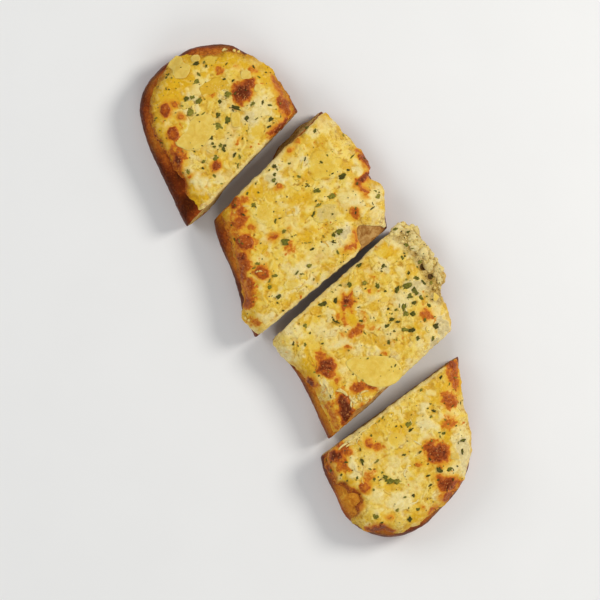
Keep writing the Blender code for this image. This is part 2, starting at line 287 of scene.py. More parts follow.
# The four pieces. "crust" is the bread's outline in the loaf's own measuring frame, past the knife
# cuts. "cheese" is the outline of the melted layer, in picture pixels. "upper" and "lower" are the
# knife cuts, as y at x = 15 and an angle. Browned, white and buttery places are in picture pixels
# with half-sizes in millimetres, a turn seen in the picture, and a strength.
PIECES = {
    "1": dict(
        height=28.0, upper=None, lower=(92.8, 18.1),
        crust=[(56, 70), (54, 95), (52.5, 110), (49.8, 128.2), (45.8, 144.6), (39.2, 157), (32, 165.8),
               (14, 173.6), (0, 174), (-14, 172), (-27, 166.5), (-35, 159.5), (-39.5, 151),
               (-43.6, 135), (-45.2, 114), (-46.0, 96), (-46.9, 80), (-46, 62), (-40, 50), (45, 50)],
        cheese=[(302, 135), (292, 119), (294, 107), (291, 97), (283, 84), (274, 70), (263, 60),
                (251, 53), (240, 51), (226, 47), (218, 52), (205, 55), (190, 54), (175, 58),
                (165, 68), (155, 82), (149, 100), (150, 124), (155, 138), (162, 151), (169, 161),
                (174, 171), (183, 181), (186, 195), (197, 206), (206, 230), (240, 240)],
        brown=[(242, 92, 7.6, 6.2, 60, 1.0), (250, 84, 4.0, 3.2, 20, 0.85), (277, 86, 11, 2.6, 118, 0.5),
               (284, 106, 8.5, 3.2, 112, 0.8), (281, 127, 9.5, 2.4, 38, 0.95),
               (177, 140, 3.0, 5.0, 10, 0.6), (177, 162, 3.2, 7.0, 15, 1.0), (180, 183, 3.0, 8.5, 12, 1.05),
               (216, 166, 3.6, 2.4, 60, 0.85), (219.5, 71.5, 3.0, 2.4, 77, 0.55),
               (253, 70, 4.0, 1.6, 160, 0.45), (212, 95, 3.4, 1.0, 30, 0.45),
               (237, 141, 2.6, 1.0, 60, 0.5), (191, 176, 2.2, 1.0, 17, 0.5),
               (173, 150, 2.0, 5.0, 10, 0.6), (182, 157, 2.6, 3.4, 10, 0.5),
               (178, 168, 1.6, 6.0, 15, 0.65), (236, 66, 1.6, 1.2, 0, 0.4)],
        white=[(262, 106, 9.0, 8.0, 120, 0.82), (251, 119, 6.0, 8.0, 40, 0.9), (200, 181, 5.0, 9.0, 60, 0.8),
               (198, 90, 8.0, 5.0, 30, 0.55), (229, 142, 8.0, 6.0, 40, 0.6), (232, 128, 5.0, 4.0, 0, 0.5),
               (210, 146, 7.0, 5.0, 40, 0.4), (226, 176, 6.0, 4.0, 40, 0.45)],
        butter=[(168, 93, 12, 14, 120, 1.0), (157, 122, 6.0, 15, 5, 1.0), (158, 100, 7.0, 16, 170, 1.0), (166, 140, 5.0, 9.0, 15, 1.0), (184, 78, 9, 7, 30, 0.9),
                (222, 62, 14, 5.5, 10, 0.9), (262, 72, 10, 6, 140, 0.85), (247, 62, 9, 5, 170, 0.8),
                (192, 197, 5, 6, 60, 0.8), (165, 146, 4, 8, 20, 0.8), (280, 92, 4, 8, 25, 0.7)],
        lips=[]),
    "2": dict(
        height=28.6, upper=(81.1, 16.6), lower=(-0.9, 11.7),
        crust=[(60, 125), (64, 108), (67, 97), (70.5, 84), (72, 66), (74, 50), (74.5, 33), (71, 18),
               (67, 4), (64, -20), (60, -40), (-40, -40), (-42, -20), (-41, -6), (-40.5, 6),
               (-37.5, 16), (-34.5, 34), (-33, 54), (-29.5, 67), (-24, 82), (-20, 110)],
        cheese=[(305, 92), (320, 106), (336, 121), (352, 140), (363, 150), (371, 162), (371, 176),
                (377, 181), (384, 186), (386, 196), (385, 212), (386, 227), (378, 226.5), (367, 226),
                (358, 226.5), (358, 238), (362, 250), (350, 290), (268, 350), (258, 338), (249, 328),
                (240, 318), (242, 306), (241, 290), (238, 275), (233, 259), (230, 243), (225, 228),
                (220, 214), (228, 201), (232, 180)],
        brown=[(245, 243, 7.0, 8.0, 60, 0.42), (234, 203, 3.8, 4.4, 40, 0.95), (241, 213, 3.4, 3.4, 70, 0.7),
               (240, 222, 6.0, 4.0, 30, 0.66), (227, 236, 2.0, 6.5, 12, 0.8), (242, 258, 3.6, 5.0, 20, 0.85),
               (242, 274, 3.0, 5.0, 20, 0.8), (250, 285, 3.6, 5.0, 15, 0.7), (246, 302, 4.4, 4.4, 30, 0.75),
               (252, 228, 3.4, 3.0, 30, 0.45), (262, 272, 5.6, 5.4, 30, 0.5), (245, 264, 3.4, 6.6, 20, 0.70),
               (238, 284, 3.0, 7.6, 10, 0.62), (249, 295, 5.0, 5.0, 45, 0.50), (226, 232, 2.0, 7.0, 15, 0.75), (233, 224, 5.0, 12.0, 10, 0.42),
               (238, 262, 5.5, 15.0, 15, 0.46), (247, 292, 6.0, 9.0, 40, 0.46), (240, 246, 8.0, 8.0, 0, 0.40),
               (255, 322, 5.4, 3.0, 160, 0.45), (274.5, 236.8, 4.0, 2.0, 20, 0.75),
               (279.5, 186, 2.2, 2.2, 20, 0.55), (289, 247, 4.4, 5.0, 60, 0.42),
               (366, 160, 2.4, 8.5, 35, 0.85), (365, 177, 6.4, 2.0, 35, 0.9), (358, 183, 2.0, 3.0, 20, 0.7),
               (364, 190, 5.0, 1.4, 150, 0.7), (368, 196, 3.5, 1.4, 10, 0.5),
               (355, 213, 3.4, 3.2, 120, 0.55), (357, 237, 2.0, 5.0, 15, 0.62), (350, 247, 6.0, 2.2, 30, 0.55),
               (290, 150, 2.6, 1.4, 63, 0.5), (297, 142, 3.4, 1.4, 40, 0.45), (326, 171, 3.4, 2.4, 60, 0.3),
               (267, 255, 3.4, 1.6, 150, 0.3), (244, 200, 3.0, 3.0, 0, 0.5)],
        white=[(275, 178, 7.0, 9.0, 60, 0.9), (292, 163, 5.0, 4.0, 40, 0.5), (352, 200, 8.0, 9.0, 60, 0.7),
               (345, 233, 6.0, 6.0, 30, 1.2), (376, 190, 5.0, 4.5, 0, 0.7), (376, 215, 4.5, 6.0, 0, 0.6),
               (300, 268, 11, 4.0, 40, 0.8), (262, 318, 7.0, 3.4, 150, 0.7), (318, 255, 10, 6.0, 35, 0.5),
               (262, 228, 3.0, 7.0, 20, 0.6), (325, 125, 7.0, 5.0, 130, 0.5), (262, 262, 4.0, 5.0, 0, 0.6),
               (290, 222, 6.0, 6.0, 20, 0.35), (363, 168, 2.4, 3.0, 0, 0.7)],
        butter=[(253, 191, 5.4, 6.2, 50, 0.72), (291, 211, 3.8, 3.4, 20, 0.75), (227, 212, 3.6, 4.4, 60, 1.0), (232, 243, 3.2, 11.0, 14, 1.0), (240, 285, 3.0, 9.0, 14, 0.8), (262, 245, 4.0, 8.0, 10, 0.5),
                (300, 200, 9.0, 6.0, 20, 0.55), (306, 236, 9.0, 7.0, 30, 0.6), (352, 209, 6.0, 5.0, 20, 0.6),
                (290, 300, 7.0, 4.0, 35, 0.5), (316, 152, 9.0, 6.0, 20, 0.45), (270, 290, 6.0, 5.0, 30, 0.5),
                (247, 315, 4.0, 3.0, 0, 0.5)],
        lips=[(376, 200, 24, 1.0), (370, 163, 12, 1.0), (254, 326, 12, 0.9), (330, 120, 10, 0.5), (302, 288, 10, 0.8)]),
    "3": dict(
        height=27.6, upper=(-7.2, 14.3), lower=(-82.7, 13.8),
        crust=[(60, 45), (66, 24), (74, 10), (80, -3), (83, -16), (81, -28), (80, -38), (74, -50),
               (72, -64), (66, -78), (60, -100), (52, -120), (-28, -125), (-31, -108), (-30.5, -95),
               (-29, -76), (-28, -54), (-29.5, -40), (-32, -22), (-34, -5), (-34, 20)],
        cheese=[(380, 195), (396, 218), (410, 224), (424, 238), (434, 254), (443, 268), (447, 280),
                (441, 291), (447, 304), (451, 318), (453, 331), (447, 345), (452, 375), (385, 435),
                (360, 442), (348, 444), (337, 440), (331, 428), (325, 414), (319, 402), (314, 392), (308, 384), (302, 375),
                (291, 367), (281, 357), (272, 346), (272, 334), (262, 315), (300, 280)],
        brown=[(347.6, 301.5, 4.4, 3.8, 145, 0.64), (347.5, 301.5, 2.3, 2.0, 0, 1.1), (347, 301, 7.8, 1.2, 62, 0.72),
               (347, 301, 7.2, 1.1, 5, 0.68), (347, 302, 7.4, 1.1, 118, 0.7), (357.6, 329, 6.6, 2.2, 55, 0.55), (344, 318, 2.0, 5.5, 10, 0.45),
               (426.6, 314.8, 4.6, 4.2, 104, 0.55), (326, 366, 5.6, 6.0, 120, 0.92), (358, 388, 5.6, 4.0, 20, 0.72),
               (310, 385, 5.2, 4.0, 150, 1.0), (321, 356, 3.4, 4.0, 40, 0.55), (330, 374, 3.4, 2.6, 120, 0.6), (332, 419, 6.8, 15.0, 18, 0.42), (371.9, 386.6, 3.4, 2.6, 146, 0.75), (347.5, 348, 3.0, 1.6, 12, 0.5),
               (371.5, 327.4, 2.0, 1.6, 143, 0.4), (384, 352.6, 2.2, 1.2, 6, 0.45), (346, 411, 13.0, 4.2, -76, 1.1), (368, 382, 5.0, 2.6, 20, 0.6), (352, 334, 3.0, 2.0, 40, 0.6), (337, 316, 1.6, 4.0, 20, 0.45), (361, 331, 4.0, 1.6, 60, 0.5),
               (362, 404, 2.0, 1.4, 75, 0.5), (338, 380, 3.0, 3.0, 30, 0.5),
               (369.5, 292, 1.8, 1.2, 113, 0.45), (372.5, 277, 1.8, 1.0, 127, 0.4), (343, 335, 2.2, 1.0, 123, 0.4),
               (364, 315, 2.0, 3.4, 20, 0.35)],
        white=[(284, 353, 8.0, 6.0, 150, 0.9), (443, 326, 6.4, 9.0, 20, 1.3), (435, 344, 5.6, 4.6, 30, 1.2), (402, 300, 8.0, 8.0, 0, 0.82),
               (419, 287, 8.0, 7.0, 0, 1.0), (436, 312, 4.0, 9.0, 10, 0.8), (432, 334, 6.0, 5.0, 30, 0.7), (398, 240, 10, 6.0, 130, 0.8), (420, 258, 6.0, 12, 30, 0.8),
               (322, 330, 9.0, 6.0, 40, 0.55), (358, 352, 5.0, 3.0, 10, 0.5), (390, 335, 9.0, 5.0, 30, 0.45),
               (330, 345, 6.0, 4.0, 30, 0.4), (436, 300, 4.0, 6.0, 20, 0.7), (340, 290, 6.0, 4.0, 40, 0.4),
               (296, 335, 8.0, 4.0, 60, 0.5), (326, 388, 9.0, 3.4, -66, 0.9)],
        butter=[(388, 251, 8.0, 4.0, 20, 0.9), (318, 295, 9.0, 4.0, 40, 0.4), (352, 318, 4.0, 9.0, 10, 0.8),
                (310, 320, 6.0, 4.0, 40, 0.4), (375, 305, 7.0, 5.0, 30, 0.45), (400, 348, 9.0, 4.0, 30, 0.4),
                (309, 364, 5.0, 7.0, 0, 0.9), (331, 424, 3.4, 11.0, 14, 0.7), (342, 364, 5.0, 4.0, 20, 0.5), (418, 325, 6.0, 4.0, 30, 0.6)],
        lips=[(425, 248, 26, 1.0), (446, 300, 24, 1.0), (449, 330, 16, 1.0), (281, 350, 16, 1.0), (398, 222, 16, 1.0), (310, 380, 8, 0.4)]),
    "4": dict(
        height=28.2, upper=(-93.5, 8.2), lower=None,
        crust=[(71, -60), (71, -78), (69, -88), (64.5, -97), (59.5, -110), (56, -124), (52, -137),
               (47, -146), (39, -156), (27, -163.5), (11, -169.5), (-3, -173), (-19, -171.5),
               (-29.5, -166), (-37, -158.5), (-42.5, -149), (-44, -138), (-43.2, -125), (-43, -113),
               (-39.5, -98), (-37, -80), (-36, -60)],
        cheese=[(470, 335), (459, 356), (461, 372), (463, 390), (466, 405), (470, 420), (473, 436),
                (473, 452), (469, 469), (463, 483), (453, 497), (443, 508), (430, 517), (418, 525),
                (401, 534), (384, 532), (373, 534), (362, 530), (355, 526), (350, 519), (357, 513), (354, 507), (360, 501),
                (356, 494), (348, 495), (343, 487), (335, 487), (331, 478),
                (326, 470), (323, 458), (325, 446), (330, 420), (400, 370)],
        brown=[(437, 453, 8.0, 7.2, 135, 0.90), (370, 476, 5.0, 4.0, 30, 0.40), (376, 446, 5.0, 3.0, 150, 0.5), (429, 445, 5.0, 2.6, 30, 0.7), (448, 484, 7.0, 4.8, 10, 0.90), (447, 497, 4.4, 3.4, 30, 0.8),
               (441, 480, 3.6, 4.6, 20, 0.7), (452, 364, 4.0, 5.0, 30, 0.85), (335.5, 456, 4.6, 4.0, 30, 1.05),
               (329, 472, 3.0, 7.0, 15, 1.0), (344, 464, 3.0, 6.0, 20, 0.6), (349, 492, 7.0, 2.6, -30, 1.0), (357, 503, 2.6, 4.6, 10, 1.0), (369, 443.5, 3.4, 2.8, 118, 0.75), (365.2, 487, 3.6, 3.4, 89, 0.75),
               (449, 400, 5.8, 5.6, 100, 0.66), (449.7, 423, 5.6, 5.0, 40, 0.50), (453, 376, 3.8, 4.8, 20, 0.62), (389.8, 518, 2.8, 1.6, 168, 0.5),
               (418.8, 464.4, 2.2, 1.6, 122, 0.5), (423, 507, 1.7, 1.2, 135, 0.45), (433, 511, 4.5, 2.2, 40, 0.6),
               (456, 385, 2.4, 6.0, 10, 0.55), (384, 447, 2.4, 1.6, 60, 0.4), (349, 470, 2.6, 2.0, 30, 0.4),
               (461, 484, 2.6, 4.0, 30, 0.6), (345, 449, 6.0, 4.0, 130, 0.6),
               (341, 466, 4.0, 5.0, 20, 0.5), (379, 531, 8.6, 3.6, 0, 1.0), (336, 444, 3.0, 3.0, 0, 0.8)],
        white=[(462, 447, 6.6, 13, 10, 1.0), (352, 438, 12.0, 3.0, 38, 0.7), (400, 501, 11, 6.0, 30, 0.80), (378, 497, 6.0, 6.0, 30, 0.6),
               (370, 462, 8.0, 5.0, 30, 0.5), (395, 462, 8.0, 5.0, 30, 0.5), (455, 470, 4.0, 4.0, 0, 0.5),
               (425, 425, 6.0, 4.0, 30, 0.35), (414, 487, 6.0, 5.0, 0, 0.5), (352, 455, 5.0, 4.0, 30, 0.4),
               (405, 440, 5.0, 4.0, 0, 0.3)],
        butter=[(401, 431, 9.0, 7.0, 30, 0.6), (444, 384, 6.0, 8.0, 30, 0.5), (352, 474, 5.0, 4.0, 30, 0.5),
                (385, 489, 6.0, 4.0, 30, 0.4), (430, 400, 8.0, 5.0, 30, 0.45), (382, 523, 8.0, 2.6, 170, 0.6),
                (420, 511, 6.0, 3.0, 30, 0.5), (343, 486, 5.0, 3.0, 140, 0.8), (448, 438, 2.3, 10.0, 8, 1.0), (457, 474, 5.0, 1.8, 60, 0.8),
                (442, 424, 3.0, 4.0, 0, 0.6)],
        lips=[(469, 447, 20, 1.0), (468, 425, 14, 0.8), (459, 372, 12, 0.5), (460, 478, 12, 0.6), (410, 527, 14, 0.5)]),
}

# The crust's profile: distance in from the outline, and height, from the base up
UNDER = ((8.5, 0.0), (6.0, 0.35), (4.0, 1.1), (2.4, 2.6), (1.4, 4.4), (0.2, 9.0), (0.0, 13.5))
OVER = ((0.0, 13.5), (0.25, 16.2), (0.8, 18.5), (1.7, 20.7), (3.0, 22.4), (4.4, 23.8), (6.0, 24.9),
        (8.0, 26.0), (10.0, 26.9), (15.0, 27.8), (25.0, 28.0), (60.0, 28.0))


class Piece:
    """The shapes of one piece as functions of place."""

    def __init__(self, key):
        self.key, self.facts, self.seed = key, PIECES[key], 100 * int(key)
        self.scale = self.facts["height"] / 28.0
        self.loop = smooth_loop([(x - MID_X, y - MID_Y) for x, y in self.facts["crust"]])
        self.edge = smooth_loop([at(*p) for p in self.facts["cheese"]])
        self.profile_table()

    def cut(self, x, y, which):
        """Distance in from a knife cut, or None."""
        if not self.facts[which]:
            return None
        y15, degrees = self.facts[which]
        a = math.radians(degrees)
        away = -math.sin(a) * (x - (15.0 - MID_X)) + math.cos(a) * (y - (y15 - MID_Y))
        return -away if which == "upper" else away

    def from_cuts(self, x, y):
        found = [d for d in (self.cut(x, y, "upper"), self.cut(x, y, "lower")) if d is not None]
        return np.minimum(*found) if len(found) == 2 else found[0]

    def profile_table(self):
        """Signed distance to the crust's profile, as a table over inset and height."""
        line = [(60.0, 0.0)] + list(UNDER) + list(OVER[1:])
        line = np.array([(i, z * self.scale) for i, z in line])
        self.insets = np.arange(-14.0, 46.0, 0.25)
        self.heights = np.arange(-4.0, 37.0, 0.25)
        gi, gz = np.meshgrid(self.insets, self.heights, indexing="ij")
        best = np.full(gi.shape, 1e9)
        for (ai, az), (bi, bz) in zip(line, line[1:]):
            ei, ez = bi - ai, bz - az
            t = np.clip(((gi - ai) * ei + (gz - az) * ez) / (ei * ei + ez * ez), 0, 1)
            best = np.minimum(best, (gi - ai - t * ei) ** 2 + (gz - az - t * ez) ** 2)
        low = np.interp(gi, [i for i, _ in UNDER[::-1]], [z * self.scale for _, z in UNDER[::-1]])
        high = np.interp(gi, [i for i, _ in OVER], [z * self.scale for _, z in OVER])
        inside = (gi > 0) & (gz > low) & (gz < high)
        self.table = np.where(inside, -1, 1) * np.sqrt(best)

    def profile(self, inset, z):
        """Signed distance to the crust's profile at these places."""
        i = np.clip((inset + 14.0) / 0.25, 0, len(self.insets) - 1.001)
        j = np.clip((z + 4.0) / 0.25, 0, len(self.heights) - 1.001)
        i0, j0 = i.astype(int), j.astype(int)
        fi, fj = i - i0, j - j0
        t = self.table
        return ((t[i0, j0] * (1 - fi) + t[i0 + 1, j0] * fi) * (1 - fj)
                + (t[i0, j0 + 1] * (1 - fi) + t[i0 + 1, j0 + 1] * fi) * fj)

    def wave(self, x, y):
        """The slow unevenness that the crumb side and the cheese share."""
        return 0.9 * layers(self.seed + 1, 26.0, 2, x, y)

    def bread_top(self, x, y, inset=None):
        inset = inside_distance(self.loop, x, y) if inset is None else inset
        high = np.interp(inset, [i for i, _ in OVER], [z * self.scale for _, z in OVER])
        return high + self.wave(x, y) * ramp(4, 12, inset)

    def rest(self, x, y, inset=None):
        """What the cheese lies on: the bread, and past its shoulder its own sagging underside."""
        inset = inside_distance(self.loop, x, y) if inset is None else inset
        hang = self.scale * (22.6 + 0.62 * (inset - 3.0))
        high = self.bread_top(x, y, inset)
        return np.where(inset < 3.0, soft_max(high, hang, 1.5), high)

    def patches(self, name, x, y, ragged=0.34, seed=0, soft=0.0):
        """How strongly a place belongs to the listed patches of this kind, 0 to 1."""
        wx = x + 1.5 * noise(self.seed + seed + 31, 5.0, x, y) + 0.6 * noise(self.seed + seed + 32, 1.9, x, y)
        wy = y + 1.5 * noise(self.seed + seed + 33, 5.0, x, y) + 0.6 * noise(self.seed + seed + 34, 1.9, x, y)
        rough = ragged * layers(self.seed + seed + 35, 3.4, 2, x, y)
        best = np.zeros(np.shape(x))
        for px, py, a, b, turn, strength in self.facts[name]:
            cx, cy = at(px, py)
            angle = turned(turn)
            u = (wx - cx) * math.cos(angle) + (wy - cy) * math.sin(angle)
            v = -(wx - cx) * math.sin(angle) + (wy - cy) * math.cos(angle)
            q = np.sqrt((u / a) ** 2 + (v / b) ** 2) + rough
            best = np.maximum(best, strength * (soft * np.clip(1.6 - q, 0, 1) + (1 - soft) * ramp(1.25, 0.45, q)))
        return np.minimum(best, 1.1)

    def strands(self, sheet):
        """Grated strands, half melted into the layer: how far each stands up, and its own shade."""
        chance = np.random.default_rng(self.seed + 5)
        low, high = self.edge.min(0), self.edge.max(0)
        count = 300
        cx, cy = chance.uniform(low[0], high[0], count), chance.uniform(low[1], high[1], count)
        turns = 2.8 * noise(self.seed + 6, 32.0, cx, cy) + chance.normal(0, 0.65, count)
        halves, radii = chance.uniform(1.3, 4.6, count), chance.uniform(0.60, 1.1, count)
        proud = chance.uniform(0.12, 0.55, count)
        broad = chance.random(count) < 0.28
        radii[broad] *= 1.8
        proud[broad] *= 0.6
        bends, tones = chance.uniform(-1.5, 1.5, count), chance.random(count)
        rise, shade = np.zeros(sheet.x.shape), np.full(sheet.x.shape, 0.5)
        for k in range(count):
            box = sheet.window(cx[k], cy[k], halves[k] + radii[k] + abs(bends[k]))
            if box is None:
                continue
            px, py = sheet.x[box] - cx[k], sheet.y[box] - cy[k]
            u = px * math.cos(turns[k]) + py * math.sin(turns[k])
            v = -px * math.sin(turns[k]) + py * math.cos(turns[k])
            t = np.clip(u / halves[k], -1, 1)
            v = v - bends[k] * (0.5 - t * t)
            d = np.hypot(u - t * halves[k], v) / radii[k]
            up = proud[k] * np.sqrt(np.clip(1 - d * d, 0, 1))
            stacked = up + 0.4 * rise[box]
            better = (up > 0.03) & (stacked > rise[box])
            rise[box] = np.where(better, stacked, rise[box])
            shade[box] = np.where(better, tones[k], shade[box])
        return rise, shade

    def looks(self, x, y):
        """Brown, white and butter shares of the cheese, 0 to 1."""
        brown = self.patches("brown", x, y, 0.38, soft=0.6)
        specks = ramp(0.26, 0.72, layers(self.seed + 41, 4.2, 3, x, y)) * 0.50
        brown = np.maximum(brown, specks * ramp(-0.25, 0.35, noise(self.seed + 42, 18.0, x, y)))
        white, butter = self.patches("white", x, y, 0.5, seed=50), self.patches("butter", x, y, 0.4, seed=90)
        white = np.maximum(white, 0.55 * ramp(0.20, 0.6, layers(self.seed + 43, 9.0, 3, x, y)) * (1 - butter))
        butter = np.maximum(butter, 0.6 * ramp(0.22, 0.6, layers(self.seed + 44, 9.0, 3, x, y)))
        inward = inside_distance(self.edge, x, y) + 1.5 * noise(self.seed + 45, 5.0, x, y)
        butter = np.maximum(butter, np.clip(near_places(BUTTER_RIMS[self.key], x, y) * 1.3, 0, 1) * ramp(13.0, 5.0, inward))
        return brown, white * (1 - 0.9 * brown), butter * (1 - 0.7 * white)

    def halo(self, x, y):
        """The amber glow round the browned places, and in soft clouds between them, 0 to 1."""
        wx, wy = x + 1.3 * noise(self.seed + 36, 6.0, x, y), y + 1.3 * noise(self.seed + 37, 6.0, x, y)
        clouds = ramp(0.05, 0.65, layers(self.seed + 46, 9.0, 3, x, y)) * ramp(-0.3, 0.4, noise(self.seed + 47, 22.0, x, y))
        best = {"1": 0.32, "2": 0.24, "3": 0.36, "4": 0.34}[self.key] * clouds
        for px, py, a, b, turn, strength in list(self.facts["brown"]) + BLISTERS[self.key]:
            cx, cy = at(px, py)
            angle = turned(turn)
            u = ((wx - cx) * math.cos(angle) + (wy - cy) * math.sin(angle)) / (a + 2.6)
            v = (-(wx - cx) * math.sin(angle) + (wy - cy) * math.cos(angle)) / (b + 2.6)
            best = np.maximum(best, min(1.0, 1.1 * strength) * np.exp(-1.3 * (u * u + v * v)))
        return best

    def rounds(self, places, x, y, loose=0.0):
        """Rounded bubbles: how much each place is in one, its dome, and how near its rim."""
        wander = 0.6 + 1.4 * loose
        wx = x + wander * noise(self.seed + 81, 3.4 + 2 * loose, x, y)
        wy = y + wander * noise(self.seed + 82, 3.4 + 2 * loose, x, y)
        uneven = (0.12 + 0.22 * loose) * noise(self.seed + 83, 2.4 + loose, x, y)
        cover, dome, rim = (np.zeros(np.shape(x)) for _ in range(3))
        for px, py, a, b, turn, strength in places:
            cx, cy = at(px, py)
            angle = turned(turn)
            u = (wx - cx) * math.cos(angle) + (wy - cy) * math.sin(angle)
            v = -(wx - cx) * math.sin(angle) + (wy - cy) * math.cos(angle)
            q = np.sqrt((u / a) ** 2 + (v / b) ** 2) + uneven
            inside = strength * ramp(1.12 + 0.32 * loose, 0.84 - 0.34 * loose, q)
            rim = np.where(inside > cover, ramp(0.15, 0.85, q), rim)
            cover = np.maximum(cover, inside)
            dome = np.maximum(dome, strength * np.sqrt(np.clip(1 - q * q, 0, 1)))
        return cover, dome, rim

    def crumbly(self, x, y):
        """Share of the rough, crumbling rim on the third piece's right side."""
        if self.key != "3":
            return np.zeros(np.shape(x))
        spine = [at(*p) for p in ((392, 224), (408, 236), (422, 252), (434, 272), (438, 292))]
        best = np.full(np.shape(x), 1e9)
        for (ax, ay), (bx, by) in zip(spine, spine[1:]):
            ex, ey = bx - ax, by - ay
            t = np.clip(((x - ax) * ex + (y - ay) * ey) / (ex * ex + ey * ey), 0, 1)
            best = np.minimum(best, np.hypot(x - ax - t * ex, y - ay - t * ey))
        return ramp(10.0, 5.0, best + 1.5 * noise(self.seed + 61, 5.0, x, y))

    def lip(self, x, y):
        """Where the layer's edge stays thick and hangs over, 0 to 1."""
        return np.clip(near_places(self.facts["lips"], x, y) * 1.3, 0, 1)

    def make_sheet(self):
        """The cheese layer's thickness and looks, on a fine flat grid."""
        low, high = self.edge.min(0) - 3.0, self.edge.max(0) + 3.0
        sheet = self.sheet = Sheet(low, high, 0.40)
        x, y = sheet.x, sheet.y
        edge = inside_distance(self.edge, x, y) + cheese_wobble(self, x, y)
        brown, white, butter = self.looks(x, y)
        pale_cut = ramp(2.4, 0.3, self.from_cuts(x, y) + 0.7 * noise(self.seed + 85, 4.0, x, y))
        white = np.maximum(white, 0.62 * pale_cut * (1 - brown))
        blister, swollen, rim = self.rounds(BLISTERS[self.key], x, y)
        brown = np.maximum(brown * (1 - 0.6 * blister), blister * (0.60 + 0.24 * rim))
        glob, raised, _ = self.rounds(GLOBS[self.key], x, y, loose=1.0)
        brown, butter = brown * (1 - 0.9 * glob), butter * (1 - glob)
        white = np.maximum(white * (1 - blister), glob)
        rise, shade = self.strands(sheet)
        crumbly, lip = self.crumbly(x, y), self.lip(x, y)
        toast = np.clip(near_places(TOASTED[self.key], x, y) * 1.3, 0, 1) * ramp(5.0, 0.6, edge + 1.2 * noise(self.seed + 28, 4.0, x, y))
        flat = np.zeros(x.shape)
        for shaving in SHAVINGS:
            outline = np.array([at(*p) for p in shaving[1]])
            middle = outline.mean(0)
            box = sheet.window(middle[0], middle[1], np.hypot(*(outline - middle).T).max() + 1.0)
            if box is not None:
                soft = 1 - shaving[3]
                inward = inside_distance(outline, x[box], y[box]) + soft * 1.4 * noise(self.seed + 29, 3.0, x[box], y[box])
                flat[box] = np.maximum(flat[box], ramp(-0.5 + 1.5 * soft, 1.0 + 3.0 * soft, inward))
        melted = np.clip(1 - 0.90 * white - 0.40 * brown - 0.75 * butter, 0.10, 1) * (1 - flat)
        wx = x + 2.0 * noise(self.seed + 71, 7.0, x, y) + 0.8 * noise(self.seed + 72, 2.2, x, y)
        wy = y + 2.0 * noise(self.seed + 73, 7.0, x, y) + 0.8 * noise(self.seed + 74, 2.2, x, y)
        large, large_gap = patchwork(self.seed + 75, 8.5, wx, wy)
        small, small_gap = patchwork(self.seed + 76, 3.8, wx, wy)
        pick = patchwork(self.seed + 77, 5.5, wy, wx)[0]
        tile = np.where(pick > 0.30, large, small)
        tile = np.where(rise > 0.16, 0.35 * tile + 0.65 * shade, tile)
        # crack: the lowered borders between patches, and the holes; the shader paints shade into both.
        crack = ramp(0.9, 0.1, large_gap) * ramp(0.0, 0.4, noise(self.seed + 78, 9.0, x, y))
        crack = np.maximum(crack, 0.8 * ramp(0.6, 0.1, small_gap) * ramp(0.1, 0.5, noise(self.seed + 79, 8.0, x, y)))
        tile = tile + (0.85 - tile) * 0.7 * glob
        hole = near_places(HOLES[self.key], x, y)
        crack = np.maximum(crack * (1 - flat) * (1 - 0.8 * white) * (1 - 0.6 * butter), np.clip(hole * 1.6, 0, 1))
        body = ramp(0.0, 8.0, edge)
        fine = ramp(0.5, 4.0, edge) * 0.8 + 0.2
        thick = (0.35 + 1.9 * lip * (1 - toast)) * (1 - body) + 3.4 * body + 0.5 * layers(self.seed + 21, 15.0, 2, x, y) * body
        thick = thick + 0.55 * layers(self.seed + 22, 7.0, 2, x, y) * melted * fine
        thick = thick + rise * melted * fine
        thick = thick + 0.30 * white * body + 0.9 * swollen * fine + 0.8 * raised * fine
        lumps = domes(self.seed + 27, 1.9, x, y, 0.8)
        rough = (1 - 0.80 * white) * (1 - 0.8 * butter) * (1 - flat) * fine
        thick = thick + (0.34 * domes(self.seed + 26, 4.2, x, y) + 0.09 * lumps) * rough
        thick = thick + (0.45 * (large - 0.5) + 0.22 * (small - 0.5) - 0.32 * crack) * (1 - flat) * (1 - 0.5 * white) * fine
        wrinkle = 1 - np.abs(layers(self.seed + 23, 2.6, 2, x, y)) * 2.2
        thick = thick + np.clip(brown, 0, 1) ** 2 * (0.55 + 0.45 * wrinkle + 0.45 * lumps) * (1 - 0.8 * blister) * fine
        pits = ramp(0.50, 0.75, noise(self.seed + 24, 3.1, x, y)) * (1 - brown)
        thick = thick - 0.55 * pits * melted * fine
        curds = 1 - np.abs(layers(self.seed + 25, 4.4, 3, x, y)) * 2.6
        thick = np.maximum(thick + crumbly * 1.4 * curds - np.clip(hole, 0, 1) * 3.0, 0.9 * body)
        clean = ramp(9.0, 3.0, np.minimum(edge, self.from_cuts(x, y) + 2.0)) * 0.6
        dirt = np.clip(clean + near_places(DIRTY[self.key], x, y) + 0.45 * noise(self.seed + 84, 15.0, x, y) + 0.20, 0.05, 1)
        # fine and broad: how far a place stands above or sinks below its blurred surroundings; the shader paints light
        # on crests and shade in hollows from them, partly as oil pooled in the hollows.
        near, wide = sheet.blurred(thick, 0.9), sheet.blurred(thick, 3.2)
        shade = sheet.blurred(tile, 0.62)
        halo = self.halo(x, y) * (1 - 0.9 * glob) * (1 - flat)
        sheet.kept = dict(edge=edge, thick=thick, brown=brown, white=white, butter=butter, crumbly=crumbly,
                          shade=shade * (1 - flat) + 0.5 * flat, lip=lip, toast=toast, crack=crack, dirt=dirt, halo=halo,
                          fine=np.clip((thick - near) / 0.16, -1, 1), broad=np.clip((near - wide) / 0.35, -1, 1))


